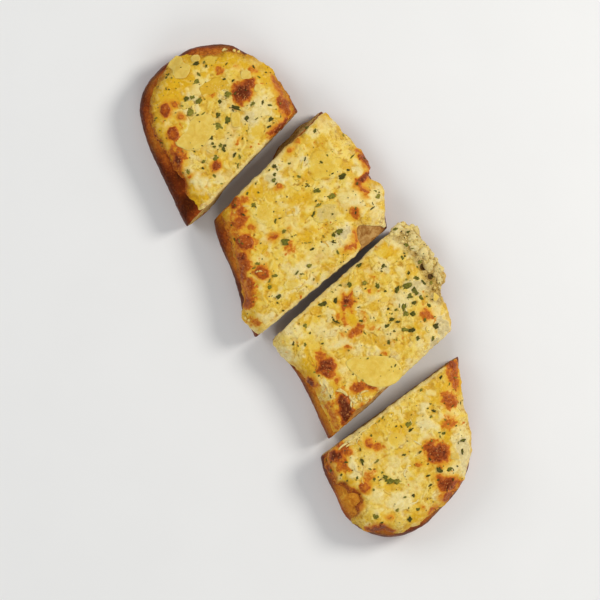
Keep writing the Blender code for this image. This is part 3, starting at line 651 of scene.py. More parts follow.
# ---------------------------------------------------------------- meshing
def surface(field, origin, step):
    """Vertices and quads of the zero level of a field that is negative inside."""
    inside = field < 0
    cells = tuple(n - 1 for n in field.shape)
    count = np.zeros(cells, dtype=np.int8)
    for corner in itertools.product((0, 1), repeat=3):
        count += inside[tuple(slice(c, c + n) for c, n in zip(corner, cells))]
    active = (count > 0) & (count < 8)
    number = np.full(cells, -1, dtype=np.int64)
    where = np.argwhere(active)
    number[active] = np.arange(len(where))
    total, hits = np.zeros((len(where), 3)), np.zeros(len(where))
    for axis in range(3):
        others = [k for k in range(3) if k != axis]
        for ends in itertools.product((0, 1), repeat=2):
            start = np.zeros(3, dtype=np.int64)
            start[others] = ends
            stop = start.copy()
            stop[axis] = 1
            a = field[tuple((where + start).T)]
            b = field[tuple((where + stop).T)]
            crosses = (a < 0) != (b < 0)
            t = a[crosses] / (a[crosses] - b[crosses])
            spot = np.tile(start.astype(float), (len(t), 1))
            spot[:, axis] = t
            total[crosses] += spot
            hits[crosses] += 1
    verts = np.array(origin) + step * (where + total / hits[:, None])
    quads = []
    rounds = {0: ((0, -1, -1), (0, 0, -1), (0, 0, 0), (0, -1, 0)),
              1: ((-1, 0, -1), (-1, 0, 0), (0, 0, 0), (0, 0, -1)),
              2: ((-1, -1, 0), (0, -1, 0), (0, 0, 0), (-1, 0, 0))}
    for axis in range(3):
        low = [slice(1, -1)] * 3
        high = [slice(1, -1)] * 3
        low[axis], high[axis] = slice(0, -1), slice(1, None)
        a, b = inside[tuple(low)], inside[tuple(high)]
        base = np.ones(3, dtype=np.int64)
        base[axis] = 0
        for leaving, order in ((a & ~b, 1), (~a & b, -1)):
            spots = np.argwhere(leaving) + base
            corners = [number[tuple((spots + np.array(o)).T)] for o in rounds[axis]]
            quads.append(np.stack(corners[::order], axis=1))
    quads = np.vstack(quads)
    return verts, quads[(quads >= 0).all(axis=1)]


def relax(verts, quads, rounds=1, share=0.5):
    """Eases each vertex towards the middle of its neighbours, which takes out the grid's steps."""
    ends = np.vstack([quads[:, [0, 1]], quads[:, [1, 2]], quads[:, [2, 3]], quads[:, [3, 0]]])
    ends = np.vstack([ends, ends[:, ::-1]])
    degree = np.bincount(ends[:, 0], minlength=len(verts))[:, None]
    for _ in range(rounds):
        total = np.stack([np.bincount(ends[:, 0], weights=verts[ends[:, 1], k], minlength=len(verts))
                          for k in range(3)], axis=1)
        verts = verts + share * (total / np.maximum(degree, 1) - verts)
    return verts


def new_mesh(name, verts, faces):
    """A mesh from arrays, in metres, with faces of one size."""
    faces = np.asarray(faces, dtype=np.int32)
    mesh = bpy.data.meshes.new(name)
    mesh.vertices.add(len(verts))
    mesh.vertices.foreach_set("co", (np.asarray(verts) * MM).astype(np.float32).ravel())
    mesh.loops.add(faces.size)
    mesh.loops.foreach_set("vertex_index", faces.ravel())
    mesh.polygons.add(len(faces))
    mesh.polygons.foreach_set("loop_start", np.arange(len(faces), dtype=np.int32) * faces.shape[1])
    mesh.update(calc_edges=True)
    mesh.validate()
    return mesh


def new_piece(name, mesh, finish, replaced=()):
    obj = bpy.data.objects.new(name, mesh)
    bpy.context.scene.collection.objects.link(obj)
    mesh.materials.append(finish)
    mesh.shade_smooth()
    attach(obj, "root")
    if replaced:
        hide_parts(*replaced)
    return obj


def thinned(name, verts, quads, ratio):
    """The mesh with its flattest places simplified."""
    mesh = new_mesh(name + "_full", verts, quads)
    holder = bpy.data.objects.new(name + "_full", mesh)
    bpy.context.scene.collection.objects.link(holder)
    fewer = holder.modifiers.new("fewer", "DECIMATE")
    fewer.ratio = ratio
    ready = holder.evaluated_get(bpy.context.evaluated_depsgraph_get())
    made = bpy.data.meshes.new_from_object(ready)
    made.name = name
    bpy.data.objects.remove(holder, do_unlink=True)
    bpy.data.meshes.remove(mesh)
    return made


def points_of(mesh):
    co = np.empty(len(mesh.vertices) * 3, dtype=np.float32)
    mesh.vertices.foreach_get("co", co)
    return co.reshape(-1, 3).astype(float) / MM


def keep(mesh, name, values):
    layer = mesh.attributes.new(name, "FLOAT", "POINT")
    layer.data.foreach_set("value", np.asarray(values, dtype=np.float32))


# ---------------------------------------------------------------- materials
class Shader:
    """A small helper to write node materials."""

    def __init__(self, name):
        self.material = bpy.data.materials.new(name)
        self.material.use_nodes = True
        self.tree = self.material.node_tree
        self.out = self.tree.nodes["Principled BSDF"]
        self.where = self.tree.nodes.new("ShaderNodeTexCoord").outputs["Object"]

    def link(self, value, socket):
        if isinstance(value, bpy.types.NodeSocket):
            self.tree.links.new(value, socket)
        elif isinstance(value, (tuple, list)) and len(value) == 3 and socket.type == "RGBA":
            socket.default_value = (*value, 1.0)
        else:
            socket.default_value = value

    def attribute(self, name):
        node = self.tree.nodes.new("ShaderNodeAttribute")
        node.attribute_name = name
        return node.outputs["Fac"]

    def noise(self, size_mm, detail=3.0, distortion=0.0, rough=0.55, stretch=None, shift=0.0):
        where = self.where
        if stretch or shift:
            mapping = self.tree.nodes.new("ShaderNodeMapping")
            mapping.inputs["Scale"].default_value = stretch or (1, 1, 1)
            mapping.inputs["Location"].default_value = (shift, shift * 0.7, shift * 0.4)
            self.link(where, mapping.inputs["Vector"])
            where = mapping.outputs["Vector"]
        node = self.tree.nodes.new("ShaderNodeTexNoise")
        node.inputs["Scale"].default_value = 1.0 / (size_mm * MM)
        node.inputs["Detail"].default_value = detail
        node.inputs["Roughness"].default_value = rough
        node.inputs["Distortion"].default_value = distortion
        self.link(where, node.inputs["Vector"])
        return node.outputs["Fac"]

    def cells(self, size_mm):
        node = self.tree.nodes.new("ShaderNodeTexVoronoi")
        node.inputs["Scale"].default_value = 1.0 / (size_mm * MM)
        self.link(self.where, node.inputs["Vector"])
        return node.outputs["Distance"]

    def math(self, kind, a, b=0.0, c=0.0, clamp=False):
        node = self.tree.nodes.new("ShaderNodeMath")
        node.operation = kind
        node.use_clamp = clamp
        for value, socket in zip((a, b, c), node.inputs):
            self.link(value, socket)
        return node.outputs[0]

    def spread(self, value, low, high, to_low=0.0, to_high=1.0):
        node = self.tree.nodes.new("ShaderNodeMapRange")
        node.interpolation_type = "SMOOTHSTEP"
        for name, v in (("Value", value), ("From Min", low), ("From Max", high),
                        ("To Min", to_low), ("To Max", to_high)):
            self.link(v, node.inputs[name])
        return node.outputs["Result"]

    def ramp(self, value, stops):
        node = self.tree.nodes.new("ShaderNodeValToRGB")
        marks = node.color_ramp.elements
        while len(marks) < len(stops):
            marks.new(0.5)
        for mark, (place, colour) in zip(marks, stops):
            mark.position = place
            mark.color = (*colour, 1.0)
        self.link(value, node.inputs["Fac"])
        return node.outputs["Color"]

    def mix(self, share, a, b, kind="MIX"):
        node = self.tree.nodes.new("ShaderNodeMix")
        node.data_type = "RGBA"
        node.blend_type = kind
        self.link(share, node.inputs["Factor"])
        for value, socket in ((a, [s for s in node.inputs if s.name == "A" and s.type == "RGBA"][0]),
                              (b, [s for s in node.inputs if s.name == "B" and s.type == "RGBA"][0])):
            self.link(value, socket)
        return [s for s in node.outputs if s.type == "RGBA"][0]

    def bump(self, height, distance_mm, strength=1.0, under=None):
        node = self.tree.nodes.new("ShaderNodeBump")
        node.inputs["Strength"].default_value = strength
        node.inputs["Distance"].default_value = distance_mm * MM
        self.link(height, node.inputs["Height"])
        if under is not None:
            self.link(under, node.inputs["Normal"])
        return node.outputs["Normal"]

    def finish(self, colour, roughness, normal=None, **fixed):
        self.link(colour, self.out.inputs["Base Color"])
        self.link(roughness, self.out.inputs["Roughness"])
        if normal is not None:
            self.link(normal, self.out.inputs["Normal"])
        for name, value in fixed.items():
            self.out.inputs[name.replace("_", " ")].default_value = value
        return self.material


def tone(r, g, b):
    """A colour as seen on a screen, 0 to 255, as the light value that shaders use."""
    return tuple(((c / 255 + 0.055) / 1.055) ** 2.4 if c > 10 else c / 255 / 12.92 for c in (r, g, b))


def cheese_material(name):
    s = Shader(name)
    brown, white, butter = s.attribute("brown"), s.attribute("white"), s.attribute("butter")
    shade, crumbly, toast = s.attribute("shade"), s.attribute("crumbly"), s.attribute("toast")
    relief, swell = s.attribute("fine"), s.attribute("broad")
    crack, dirt, halo = s.attribute("crack"), s.attribute("dirt"), s.attribute("halo")
    calm = s.math("SUBTRACT", 1.0, s.math("MULTIPLY", white, 0.8), clamp=True)
    broad = s.noise(7.0, 4.0, 0.8)
    fine = s.noise(1.3, 4.0, 0.8, 0.62)
    streak = s.noise(2.6, 5.0, 1.6, 0.62, shift=0.31)
    patch = s.math("ADD", shade, s.math("MULTIPLY", s.math("SUBTRACT", broad, 0.5), 0.8))
    body = s.ramp(patch, [(0.02, tone(214, 168, 46)), (0.22, tone(223, 183, 58)), (0.42, tone(228, 193, 75)),
                          (0.60, tone(231, 202, 96)), (0.78, tone(234, 209, 124)), (0.98, tone(228, 210, 146))])
    mottle = s.noise(3.0, 4.0, 1.8, 0.60, shift=2.1)
    body = s.mix(s.math("MULTIPLY", s.spread(mottle, 0.56, 0.34, 0.0, 0.85), dirt), body,
                 s.ramp(streak, [(0.35, tone(160, 110, 38)), (0.60, tone(198, 157, 66))]))
    body = s.mix(s.spread(mottle, 0.55, 0.70, 0.0, 0.45), body, tone(237, 219, 146))
    body = s.mix(s.spread(butter, 0.05, 0.75, 0.0, 0.94), body,
                 s.ramp(streak, [(0.32, tone(206, 150, 16)), (0.50, tone(219, 170, 22)),
                                 (0.68, tone(226, 182, 38))]))
    milk = s.noise(4.0, 4.0, 1.4, 0.6, shift=0.31)
    body = s.mix(s.math("MULTIPLY", white, 0.94), body,
                 s.ramp(milk, [(0.30, tone(208, 188, 120)), (0.48, tone(230, 210, 144)),
                               (0.66, tone(238, 224, 170))]))
    body = s.mix(s.spread(white, 0.84, 0.95, 0.0, 0.85), body,
                 s.ramp(milk, [(0.30, tone(188, 168, 114)), (0.48, tone(208, 189, 134)),
                               (0.66, tone(224, 207, 156))]))
    # Painted light and shade from the relief: paler on crests, darker in the fine and broad hollows. Partly oil pooled
    # in the hollows, partly painted highlight and painted shade.
    body = s.mix(s.spread(relief, 0.15, 0.95, 0.0, 0.24), body, tone(242, 222, 142))
    body = s.mix(s.math("MULTIPLY", s.spread(swell, -0.10, -1.0, 0.0, 0.40), calm), body, tone(204, 150, 38))
    body = s.mix(s.math("MULTIPLY", s.spread(relief, -0.15, -0.95, 0.0, 0.38), calm), body, tone(184, 130, 28))
    body = s.mix(s.math("MULTIPLY", s.spread(fine, 0.42, 0.30, 0.0, 0.28), calm), body, tone(178, 122, 24))
    # Painted shade in the lowered borders between patches.
    body = s.mix(s.math("MULTIPLY", s.spread(crack, 0.15, 0.9, 0.0, 0.55), calm), body, tone(160, 106, 28))
    body = s.mix(s.spread(halo, 0.06, 0.55, 0.0, 0.92), body,
                 s.ramp(s.math("ADD", halo, s.math("MULTIPLY", s.math("SUBTRACT", streak, 0.5), 0.8)),
                        [(0.12, tone(228, 188, 62)), (0.34, tone(221, 166, 42)), (0.60, tone(208, 136, 30)), (0.85, tone(190, 106, 24))]))
    body = s.mix(s.spread(white, 1.01, 1.08, 0.0, 0.75), body,
                 s.ramp(milk, [(0.30, tone(172, 153, 104)), (0.48, tone(196, 177, 126)),
                               (0.66, tone(218, 201, 152))]))
    burnt = s.math("ADD", brown, s.math("MULTIPLY", s.math("SUBTRACT", s.noise(3.0, 5.0, 1.2, 0.6, shift=0.7), 0.5), 0.60))
    # The browning is painted a little lighter on crests and darker in hollows: painted light and shade.
    burnt = s.math("ADD", burnt, s.math("MULTIPLY", relief, -0.08))
    burnt = s.math("ADD", burnt, s.math("MULTIPLY", s.math("SUBTRACT", 0.5, fine), 0.35))
    burnt_tone = s.ramp(burnt, [(0.14, tone(221, 162, 42)), (0.30, tone(211, 136, 32)),
                                (0.46, tone(192, 106, 26)), (0.62, tone(168, 80, 22)),
                                (0.80, tone(142, 60, 18)), (1.0, tone(96, 34, 10))])
    colour = s.mix(s.spread(burnt, 0.14, 0.44), body, burnt_tone)
    # Painted highlights: small pale pinkish specks on the browned places.
    pale = s.math("MULTIPLY", s.spread(s.noise(1.3, 3.0, 0.6, shift=1.3), 0.57, 0.66), s.spread(burnt, 0.4, 0.7, 0.0, 0.60))
    colour = s.mix(pale, colour, tone(218, 148, 82))
    rim_tone = s.ramp(streak, [(0.34, tone(96, 34, 6)), (0.48, tone(146, 64, 12)), (0.66, tone(202, 124, 30))])
    colour = s.mix(toast, colour, rim_tone)
    crumb_tone = s.ramp(fine, [(0.32, tone(112, 84, 34)), (0.46, tone(160, 126, 60)), (0.66, tone(206, 180, 112))])
    colour = s.mix(s.math("MULTIPLY", crumbly, 0.75), colour, crumb_tone)
    # Painted shade: near-black in the deep holes of the crumbling rim.
    colour = s.mix(s.spread(crack, 0.90, 1.0, 0.0, 0.92), colour, tone(70, 44, 18))
    rough = s.spread(fine, 0.3, 0.7, 0.24, 0.38)
    height = s.math("ADD", s.math("MULTIPLY", fine, 0.8), s.math("MULTIPLY", streak, 0.6))
    normal = s.bump(height, 0.45, 0.80)
    normal = s.bump(s.noise(0.6, 2.0, 0.6), 0.14, 0.7, under=normal)
    return s.finish(colour, rough, normal, Subsurface_Weight=0.10, Subsurface_Scale=0.0014,
                    Subsurface_Radius=(1.0, 0.62, 0.26), Specular_IOR_Level=0.20,
                    Specular_Tint=(1.0, 0.78, 0.48, 1.0))


def bread_material():
    s = Shader("baked_bread")
    depth, butter, bake_and_shade, top = s.attribute("depth"), s.attribute("butter"), s.attribute("bake_and_shade"), s.attribute("top")
    broad = s.noise(9.0, 4.0, 0.5)
    fine = s.noise(1.3, 4.0, 0.6, 0.6)
    # This darkness carries the crust's baked colour together with painted shade on its steep side and in a crevice;
    # higher is darker.
    tint = s.math("ADD", bake_and_shade, s.math("MULTIPLY", s.math("SUBTRACT", broad, 0.5), 0.8))
    crust = s.ramp(tint, [(0.05, tone(208, 138, 50)), (0.28, tone(184, 98, 32)),
                          (0.48, tone(150, 66, 20)), (0.68, tone(110, 42, 12)), (0.95, tone(68, 24, 6))])
    crust = s.mix(s.math("MULTIPLY", s.spread(fine, 0.50, 0.68, 0.0, 0.50), s.spread(tint, 0.95, 0.40, 0.25, 1.0)), crust, tone(198, 114, 38))
    crust = s.mix(s.spread(s.noise(4.0, 5.0, 1.4, 0.65, shift=0.9), 0.50, 0.34, 0.0, 0.70), crust, tone(104, 42, 10))
    crust = s.mix(s.spread(s.noise(1.7, 4.0, 0.8, 0.62, shift=2.3), 0.50, 0.36, 0.0, 0.50), crust, tone(92, 32, 10))
    gold = s.ramp(s.noise(5.0, 6.0, 1.2, 0.68, shift=1.7), [(0.30, tone(148, 74, 14)), (0.44, tone(188, 112, 26)),
                                                            (0.56, tone(208, 140, 40)), (0.70, tone(226, 172, 62))])
    crust = s.mix(s.math("MULTIPLY", butter, 0.85), crust, gold)
    toast = s.ramp(s.noise(3.0, 5.0, 0.8), [(0.32, tone(138, 88, 38)), (0.48, tone(166, 120, 62)),
                                             (0.64, tone(188, 146, 86))])
    crust = s.mix(top, crust, toast)
    crumb = s.ramp(s.noise(2.4, 5.0, 0.9, 0.6), [(0.32, tone(172, 130, 66)), (0.50, tone(198, 160, 92)),
                                                  (0.68, tone(218, 188, 124))])
    colour = s.mix(s.spread(depth, 0.7, 2.0), crust, crumb)
    rough = s.spread(depth, 0.6, 1.6, 0.42, 0.86)
    normal = s.bump(s.math("ADD", s.noise(0.9, 3.0, 0.3), s.math("MULTIPLY", s.cells(1.5), 0.8)), 0.48, 0.85)
    return s.finish(colour, rough, normal, Subsurface_Weight=0.08, Subsurface_Scale=0.0015,
                    Subsurface_Radius=(1.0, 0.6, 0.3), Specular_IOR_Level=0.06, Specular_Tint=(1.0, 0.70, 0.40, 1.0))


def shaving_material():
    s = Shader("hard_cheese_shaving")
    tint, rim = s.attribute("tint"), s.attribute("rim")
    cloud = s.noise(5.0, 3.0, 0.7)
    base = s.ramp(cloud, [(0.34, tone(218, 178, 64)), (0.52, tone(226, 191, 80)), (0.70, tone(232, 202, 100))])
    base = s.mix(s.math("MULTIPLY", tint, 0.8), base, tone(206, 172, 92))
    # Painted highlight: the rim of each flake paler all round.
    base = s.mix(s.math("MULTIPLY", rim, 0.35), base, tone(236, 212, 124))
    base = s.mix(s.spread(s.noise(1.1, 2.0), 0.60, 0.72, 0.0, 0.4), base, tone(236, 214, 136))
    normal = s.bump(s.noise(1.2, 3.0, 0.4), 0.16, 0.7)
    return s.finish(base, s.spread(cloud, 0.3, 0.7, 0.38, 0.50), normal, Subsurface_Weight=0.20,
                    Subsurface_Scale=0.0016, Subsurface_Radius=(1.0, 0.65, 0.3), Specular_IOR_Level=0.25)


def parsley_material():
    s = Shader("baked_parsley")
    tint = s.attribute("tint")
    base = s.ramp(tint, [(0.0, tone(66, 60, 12)), (0.30, tone(90, 88, 20)), (0.65, tone(118, 114, 32)),
                         (1.0, tone(152, 140, 48))])
    base = s.mix(s.spread(s.noise(0.8, 3.0), 0.40, 0.65, 0.0, 0.5), base, tone(60, 58, 14))
    normal = s.bump(s.noise(0.5, 2.0, 0.5), 0.12, 0.8)
    return s.finish(base, s.spread(s.noise(1.4, 2.0), 0.3, 0.7, 0.42, 0.66), normal, Specular_IOR_Level=0.15)


def pepper_material():
    s = Shader("ground_pepper")
    base = s.ramp(s.attribute("tint"), [(0.0, tone(32, 26, 16)), (0.6, tone(66, 50, 28)), (1.0, tone(120, 92, 50))])
    normal = s.bump(s.noise(0.3, 2.0), 0.06, 0.8)
    return s.finish(base, s.spread(s.noise(0.6, 2.0), 0.3, 0.7, 0.6, 0.8), normal)


# ---------------------------------------------------------------- the bread
def grid_for(low, high, step):
    """Grid axes that cover a box, with a margin."""
    axes = [np.arange(a - 2.5 * step, b + 3.0 * step, step) for a, b in zip(low, high)]
    return axes


def hole_list(chance):
    """Crumb holes behind a cut face: places along the cut, behind it and up, and three radii."""
    made = []
    for _ in range(620):
        r = 0.55 + 2.3 * chance.random() ** 3.4
        made.append((chance.uniform(-75, 75), chance.uniform(-0.6, 3.4), chance.uniform(1.8, 27.0),
                     r * chance.uniform(1.0, 1.9), r * chance.uniform(0.8, 1.3), r * chance.uniform(0.65, 1.0),
                     chance.uniform(-0.6, 0.6)))
    return made


def make_bread(piece, finish):
    loop = piece.loop
    xs, ys, zs = grid_for((loop[:, 0].min(), loop[:, 1].min(), 0.0),
                          (loop[:, 0].max(), loop[:, 1].max(), piece.facts["height"] + 1.5), BREAD_STEP)
    x, y = np.meshgrid(xs, ys, indexing="ij")
    near = piece.from_cuts(x, y) > -3.0
    rows, cols = near.any(1), near.any(0)
    xs, ys = xs[rows], ys[cols]
    zs = zs - zs[np.abs(zs).argmin()] + 0.37 * BREAD_STEP
    x, y = np.meshgrid(xs, ys, indexing="ij")
    inset = inside_distance(loop, x, y)
    lift = piece.wave(x, y) * ramp(4, 12, inset)
    field = np.stack([piece.profile(inset, z - lift * ramp(8, 20, z)) for z in zs], axis=2)
    gx, gy, gz = np.meshgrid(xs, ys, zs, indexing="ij")
    skin = np.abs(field) < 3.0
    relief = np.zeros(field.shape)
    relief[skin] = (0.55 * layers(piece.seed + 7, 13.0, 2, gx[skin], gy[skin], gz[skin] * 1.6)
                    + 0.34 * layers(piece.seed + 8, 3.0, 2, gx[skin], gy[skin], gz[skin]))
    field = field - relief * ramp(0.5, 4.0, gz) * (1 - 0.5 * ramp(18.0, 24.0, gz))
    for which in ("upper", "lower"):
        away = piece.cut(x, y, which)
        if away is None:
            continue
        lean = near_places(LEANING[piece.key][which], x, y)
        out_by = lean[:, :, None] * np.clip(1 - gz / piece.facts["height"], 0, 1)
        face = -away[:, :, None] - out_by
        band = np.abs(face) < 5.5
        bx, by, bz = gx[band], gy[band], gz[band]
        rough = (0.50 * layers(piece.seed + 9, 6.0, 2, bx, by, bz)
                 + 0.42 * layers(piece.seed + 10, 2.1, 2, bx, by, bz))
        face[band] += rough * ramp(-1.0, 2.0, -field[band])
        field = soft_max(field, face, 0.9)
        # crumb holes, kept off the crust, the base and the cheese above
        angle = math.radians(piece.facts[which][1])
        along = (gx[band] - (15.0 - MID_X)) * math.cos(angle) + (gy[band] - (piece.facts[which][0] - MID_Y)) * math.sin(angle)
        behind = (away[:, :, None] + out_by)[band]
        level = gz[band]
        pores = np.full(along.shape, 1e3)
        order = np.argsort(along)
        sorted_along = along[order]
        chance = np.random.default_rng(piece.seed + (3 if which == "upper" else 4))
        for a, b, c, ra, rb, rc, tilt in hole_list(chance):
            first, last = np.searchsorted(sorted_along, (a - ra - 1.5, a + ra + 1.5))
            pick = order[first:last]
            if len(pick) == 0:
                continue
            u, w = along[pick] - a, level[pick] - c
            u, w = u * math.cos(tilt) + w * math.sin(tilt), -u * math.sin(tilt) + w * math.cos(tilt)
            q = np.sqrt((u / ra) ** 2 + ((behind[pick] - b) / rb) ** 2 + (w / rc) ** 2)
            pores[pick] = np.minimum(pores[pick], (q - 1) * min(ra, rb, rc))
        solid = field[band]
        crust_away = -np.stack([piece.profile(inset, z) for z in zs], axis=2)[band]
        keep_off = np.where(crust_away > 1.6, 0.0, 4.0)
        field[band] = soft_max(solid, -(pores + keep_off), 0.45)
    field = soft_max(field, -gz, 0.3)
    verts, quads = surface(field, (xs[0], ys[0], zs[0]), BREAD_STEP)
    verts = relax(verts, quads, 1, 0.35)
    verts[:, 2] = np.maximum(verts[:, 2], 0.0)
    mesh = thinned(f"bread_baked_{piece.key}", verts, quads, 0.55)
    p = points_of(mesh)
    px, py, pz = p.T
    v_inset = inside_distance(loop, px, py)
    depth = -piece.profile(v_inset, pz - piece.wave(px, py) * ramp(4, 12, v_inset) * ramp(8, 20, pz))
    facing_top = np.clip(near_places(BARE[piece.key], px, py), 0, 1) * ramp(19.0, 23.0, pz)
    keep(mesh, "depth", depth * ramp(1.2, 2.6, pz))
    keep(mesh, "top", np.clip(facing_top, 0, 1))
    # side_dark: the crust darkest a little above its widest place, paler towards the base and again towards the top;
    # partly its baked colour, partly painted shade of the steep side.
    side_dark = 0.46 + 0.34 * ramp(9.0, 18.5, pz) - 0.54 * ramp(18.5, 25.5, pz) - 0.14 * ramp(7.0, 0.5, pz)
    keep(mesh, "bake_and_shade", np.clip(side_dark + bake_and_shade_of(piece, px, py, pz) * (0.3 + 0.7 * ramp(8.0, 17.0, pz)), 0.0, 0.92))
    keep(mesh, "butter", np.clip(butter_of(piece, px, py) * ramp(15, 23, pz), 0, 1))
    return new_piece(mesh.name, mesh, finish, (f"bread_{piece.key}",))


# Places where the crust is darker (+) or paler (-), and where butter has soaked it. Mostly its baked colour; the two
# narrow darker places by the cheese's edge on the first piece are painted shade of a crevice there.
BAKE_AND_SHADE = {"1": [(146, 100, 26, 0.25), (164, 172, 28, 0.34), (184, 207, 22, 0.34), (179, 178, 9, 0.35), (189, 203, 9, 0.4), (195, 47, 20, -0.08), (245, 45, 14, -0.05), (285, 85, 24, -0.12)],
        "2": [(218, 228, 20, 0.30), (236, 290, 22, 0.20), (386, 231, 8, 0.42)],
        "3": [(325, 410, 30, -0.20), (290, 372, 16, -0.15)],
        "4": [(345, 500, 22, -0.30), (328, 465, 14, 0.15), (380, 536, 20, 0.05), (455, 500, 24, 0.0)]}
# Where a knife cut leans, so that its face runs out at the base: mm at the base
LEANING = {"1": {"lower": [(200, 206, 16, 2.6), (218, 199, 10, 1.2)]},
           "2": {"upper": [(276, 143, 16, 5.0), (300, 128, 16, 5.5), (322, 116, 10, 3.0)], "lower": []},
           "3": {"upper": [], "lower": [(372, 410, 24, 2.0)]},
           "4": {"upper": []}}
# Where the melted layer stops short of the edge or the cut, in mm
SHORT = {"1": [(155, 110, 10, 0.8)], "2": [(300, 124, 14, 2.0)], "3": [(362, 418, 16, 4.2), (384, 399, 12, 3.6)], "4": []}
# Deep gaps in the crumbling rim; they are lowered, and painted dark as their shade.
HOLES = {"1": [], "2": [], "3": [(423.6, 266.8, 4.6, 1.15), (430.6, 276.6, 3.9, 1.1), (415, 254, 2.6, 0.6)], "4": []}
# Where the layer is torn off in a straight line
TORN = {"1": [], "2": [(368, 228, 20, 1.2)], "3": [(328, 424, 20, 1.0)], "4": []}
# Where the layer is dingier (+) or cleaner (-)
DIRTY = {"1": [(200, 165, 26, 0.4), (225, 110, 26, 0.3), (190, 70, 20, -0.3), (180, 205, 18, 0.3)],
         "2": [(290, 212, 56, -0.65), (325, 125, 22, 0.2), (300, 300, 20, 0.1), (330, 238, 22, 0.2)],
         "3": [(400, 325, 34, 0.5), (360, 310, 34, 0.3), (300, 330, 24, -0.3), (345, 395, 34, 0.4), (400, 255, 24, -0.2)],
         "4": [(398, 430, 24, -0.3), (395, 500, 20, -0.4), (440, 400, 26, 0.2), (430, 490, 26, 0.3), (350, 450, 22, 0.3)]}
# Where a buttery rim runs along the layer's edge
BUTTER_RIMS = {"1": [(155, 92, 20, 1.0), (154, 122, 18, 1.0), (163, 145, 12, 0.8), (205, 52, 16, 0.7), (235, 50, 18, 1.0),
                     (262, 64, 16, 1.0), (280, 84, 14, 1.0), (290, 104, 12, 1.0), (180, 62, 12, 0.6), (190, 198, 12, 0.9)],
               "2": [(222, 214, 12, 1.0), (228, 242, 12, 0.8), (238, 276, 12, 0.5), (322, 112, 12, 0.8)],
               "3": [(310, 368, 12, 0.8), (385, 200, 8, 0.5)],
               "4": [(346, 482, 12, 0.7), (452, 504, 14, 0.7), (420, 520, 14, 0.6), (384, 527, 10, 0.5), (459, 385, 10, 0.5)]}
# Brown bubbles: picture place, half-sizes in millimetres, turn in the picture, strength
BLISTERS = {"1": [(165.5, 110, 3.2, 4.8, 0, 1.0), (174.5, 105, 1.7, 1.7, 0, 0.8), (181, 117, 2.2, 1.6, 40, 0.7),
                  (173, 134, 3.8, 4.2, 0, 1.0), (219, 71, 1.5, 2.4, 0, 0.7), (180, 153, 2.4, 4.0, 20, 0.8),
                  (251, 69, 1.6, 1.3, 0, 0.6), (176, 168, 2.0, 5.2, 15, 0.8)],
            "2": [(236.5, 203, 2.6, 2.6, 0, 0.9), (245, 242, 4.6, 6.2, 75, 1.0), (262, 273, 4.0, 5.2, 60, 0.9),
                  (279.5, 186, 2.0, 1.8, 0, 0.7), (289, 229, 1.4, 1.2, 0, 0.4)],
            "3": [],
            "4": [(369, 443, 2.2, 1.6, 30, 0.5), (365, 487, 2.4, 2.6, 0, 0.8), (389.8, 517, 2.6, 1.5, 0, 0.55)]}
# Smooth milky globs, given the same way
GLOBS = {"1": [(258, 111, 5.0, 6.6, 20, 0.8), (200, 182, 3.0, 4.6, 60, 0.7), (231, 142, 3.6, 2.6, 30, 0.5)],
         "2": [(274, 178, 4.4, 6.6, 70, 0.9), (344, 233, 4.2, 3.4, 20, 1.0), (299, 270, 6.0, 2.6, 35, 0.8),
               (358, 170, 3.2, 2.8, 0, 0.9), (376, 196, 4.4, 5.8, 90, 0.8), (345, 196, 4.2, 3.0, 20, 0.6), (279, 322, 3.0, 1.6, 10, 0.9)],
         "3": [(404, 299, 5.0, 4.2, 30, 0.82), (444, 331, 7.6, 3.2, 80, 1.0), (331, 313, 4.0, 2.6, 60, 0.7),
               (284, 351, 4.6, 3.2, 140, 0.8), (420, 288, 4.0, 3.0, 40, 0.6), (356, 292, 3.0, 2.0, 60, 0.5)],
         "4": [(464, 451, 15.0, 5.2, 98, 1.0), (400, 501, 8.0, 5.2, 15, 0.82), (424, 407, 3.4, 4.6, 0, 0.9),
               (354, 468, 7.6, 2.8, 100, 0.9), (378, 494, 4.6, 3.4, 30, 0.8), (436, 427, 3.0, 2.6, 0, 0.6),
               (392, 470, 3.4, 2.4, 20, 0.5), (430, 394, 3.0, 2.0, 30, 0.5)]}
# Where the layer's thin rim is toasted
TOASTED = {"1": [(151, 112, 14, 1.0), (154, 132, 14, 1.0), (162, 150, 14, 1.0), (172, 168, 14, 1.0), (183, 188, 12, 1.0),
                 (160, 78, 12, 0.6), (291, 100, 10, 1.0), (281, 82, 10, 0.6), (208, 52, 13, 0.7), (233, 48, 12, 0.8),
                 (250, 54, 8, 0.4)],
           "2": [(219, 222, 10, 0.9), (226, 245, 12, 0.9), (234, 272, 12, 0.7), (240, 300, 12, 0.4), (368, 158, 10, 0.5)],
           "3": [(325, 402, 6, 0.4), (347, 434, 10, 1.0), (300, 374, 10, 0.3)],
           "4": [(326, 458, 10, 0.8), (334, 482, 12, 1.2), (350, 494, 12, 1.4), (356, 508, 10, 1.2), (452, 496, 12, 0.6), (383, 532, 14, 0.5)]}
BARE = {"1": [], "2": [(368, 236, 16, 1.8)], "3": [(380, 405, 30, 1.6)], "4": []}
SOAKED = {"1": [(160, 140, 12, 0.5), (158, 85, 12, 0.4), (225, 45, 12, 0.3), (285, 90, 18, 0.9), (266, 62, 12, 0.7)],
          "2": [(222, 214, 10, 0.9), (236, 260, 14, 0.4)],
          "3": [(328, 408, 24, 1.0), (300, 378, 12, 0.5)],
          "4": [(347, 500, 18, 0.9), (380, 532, 16, 0.5), (440, 515, 18, 0.4)]}


def near_places(places, x, y):
    total = np.zeros(np.shape(x))
    for px, py, radius, amount in places:
        cx, cy = at(px, py)
        total += amount * np.exp(-((x - cx) ** 2 + (y - cy) ** 2) / (radius * PIXEL) ** 2)
    return total


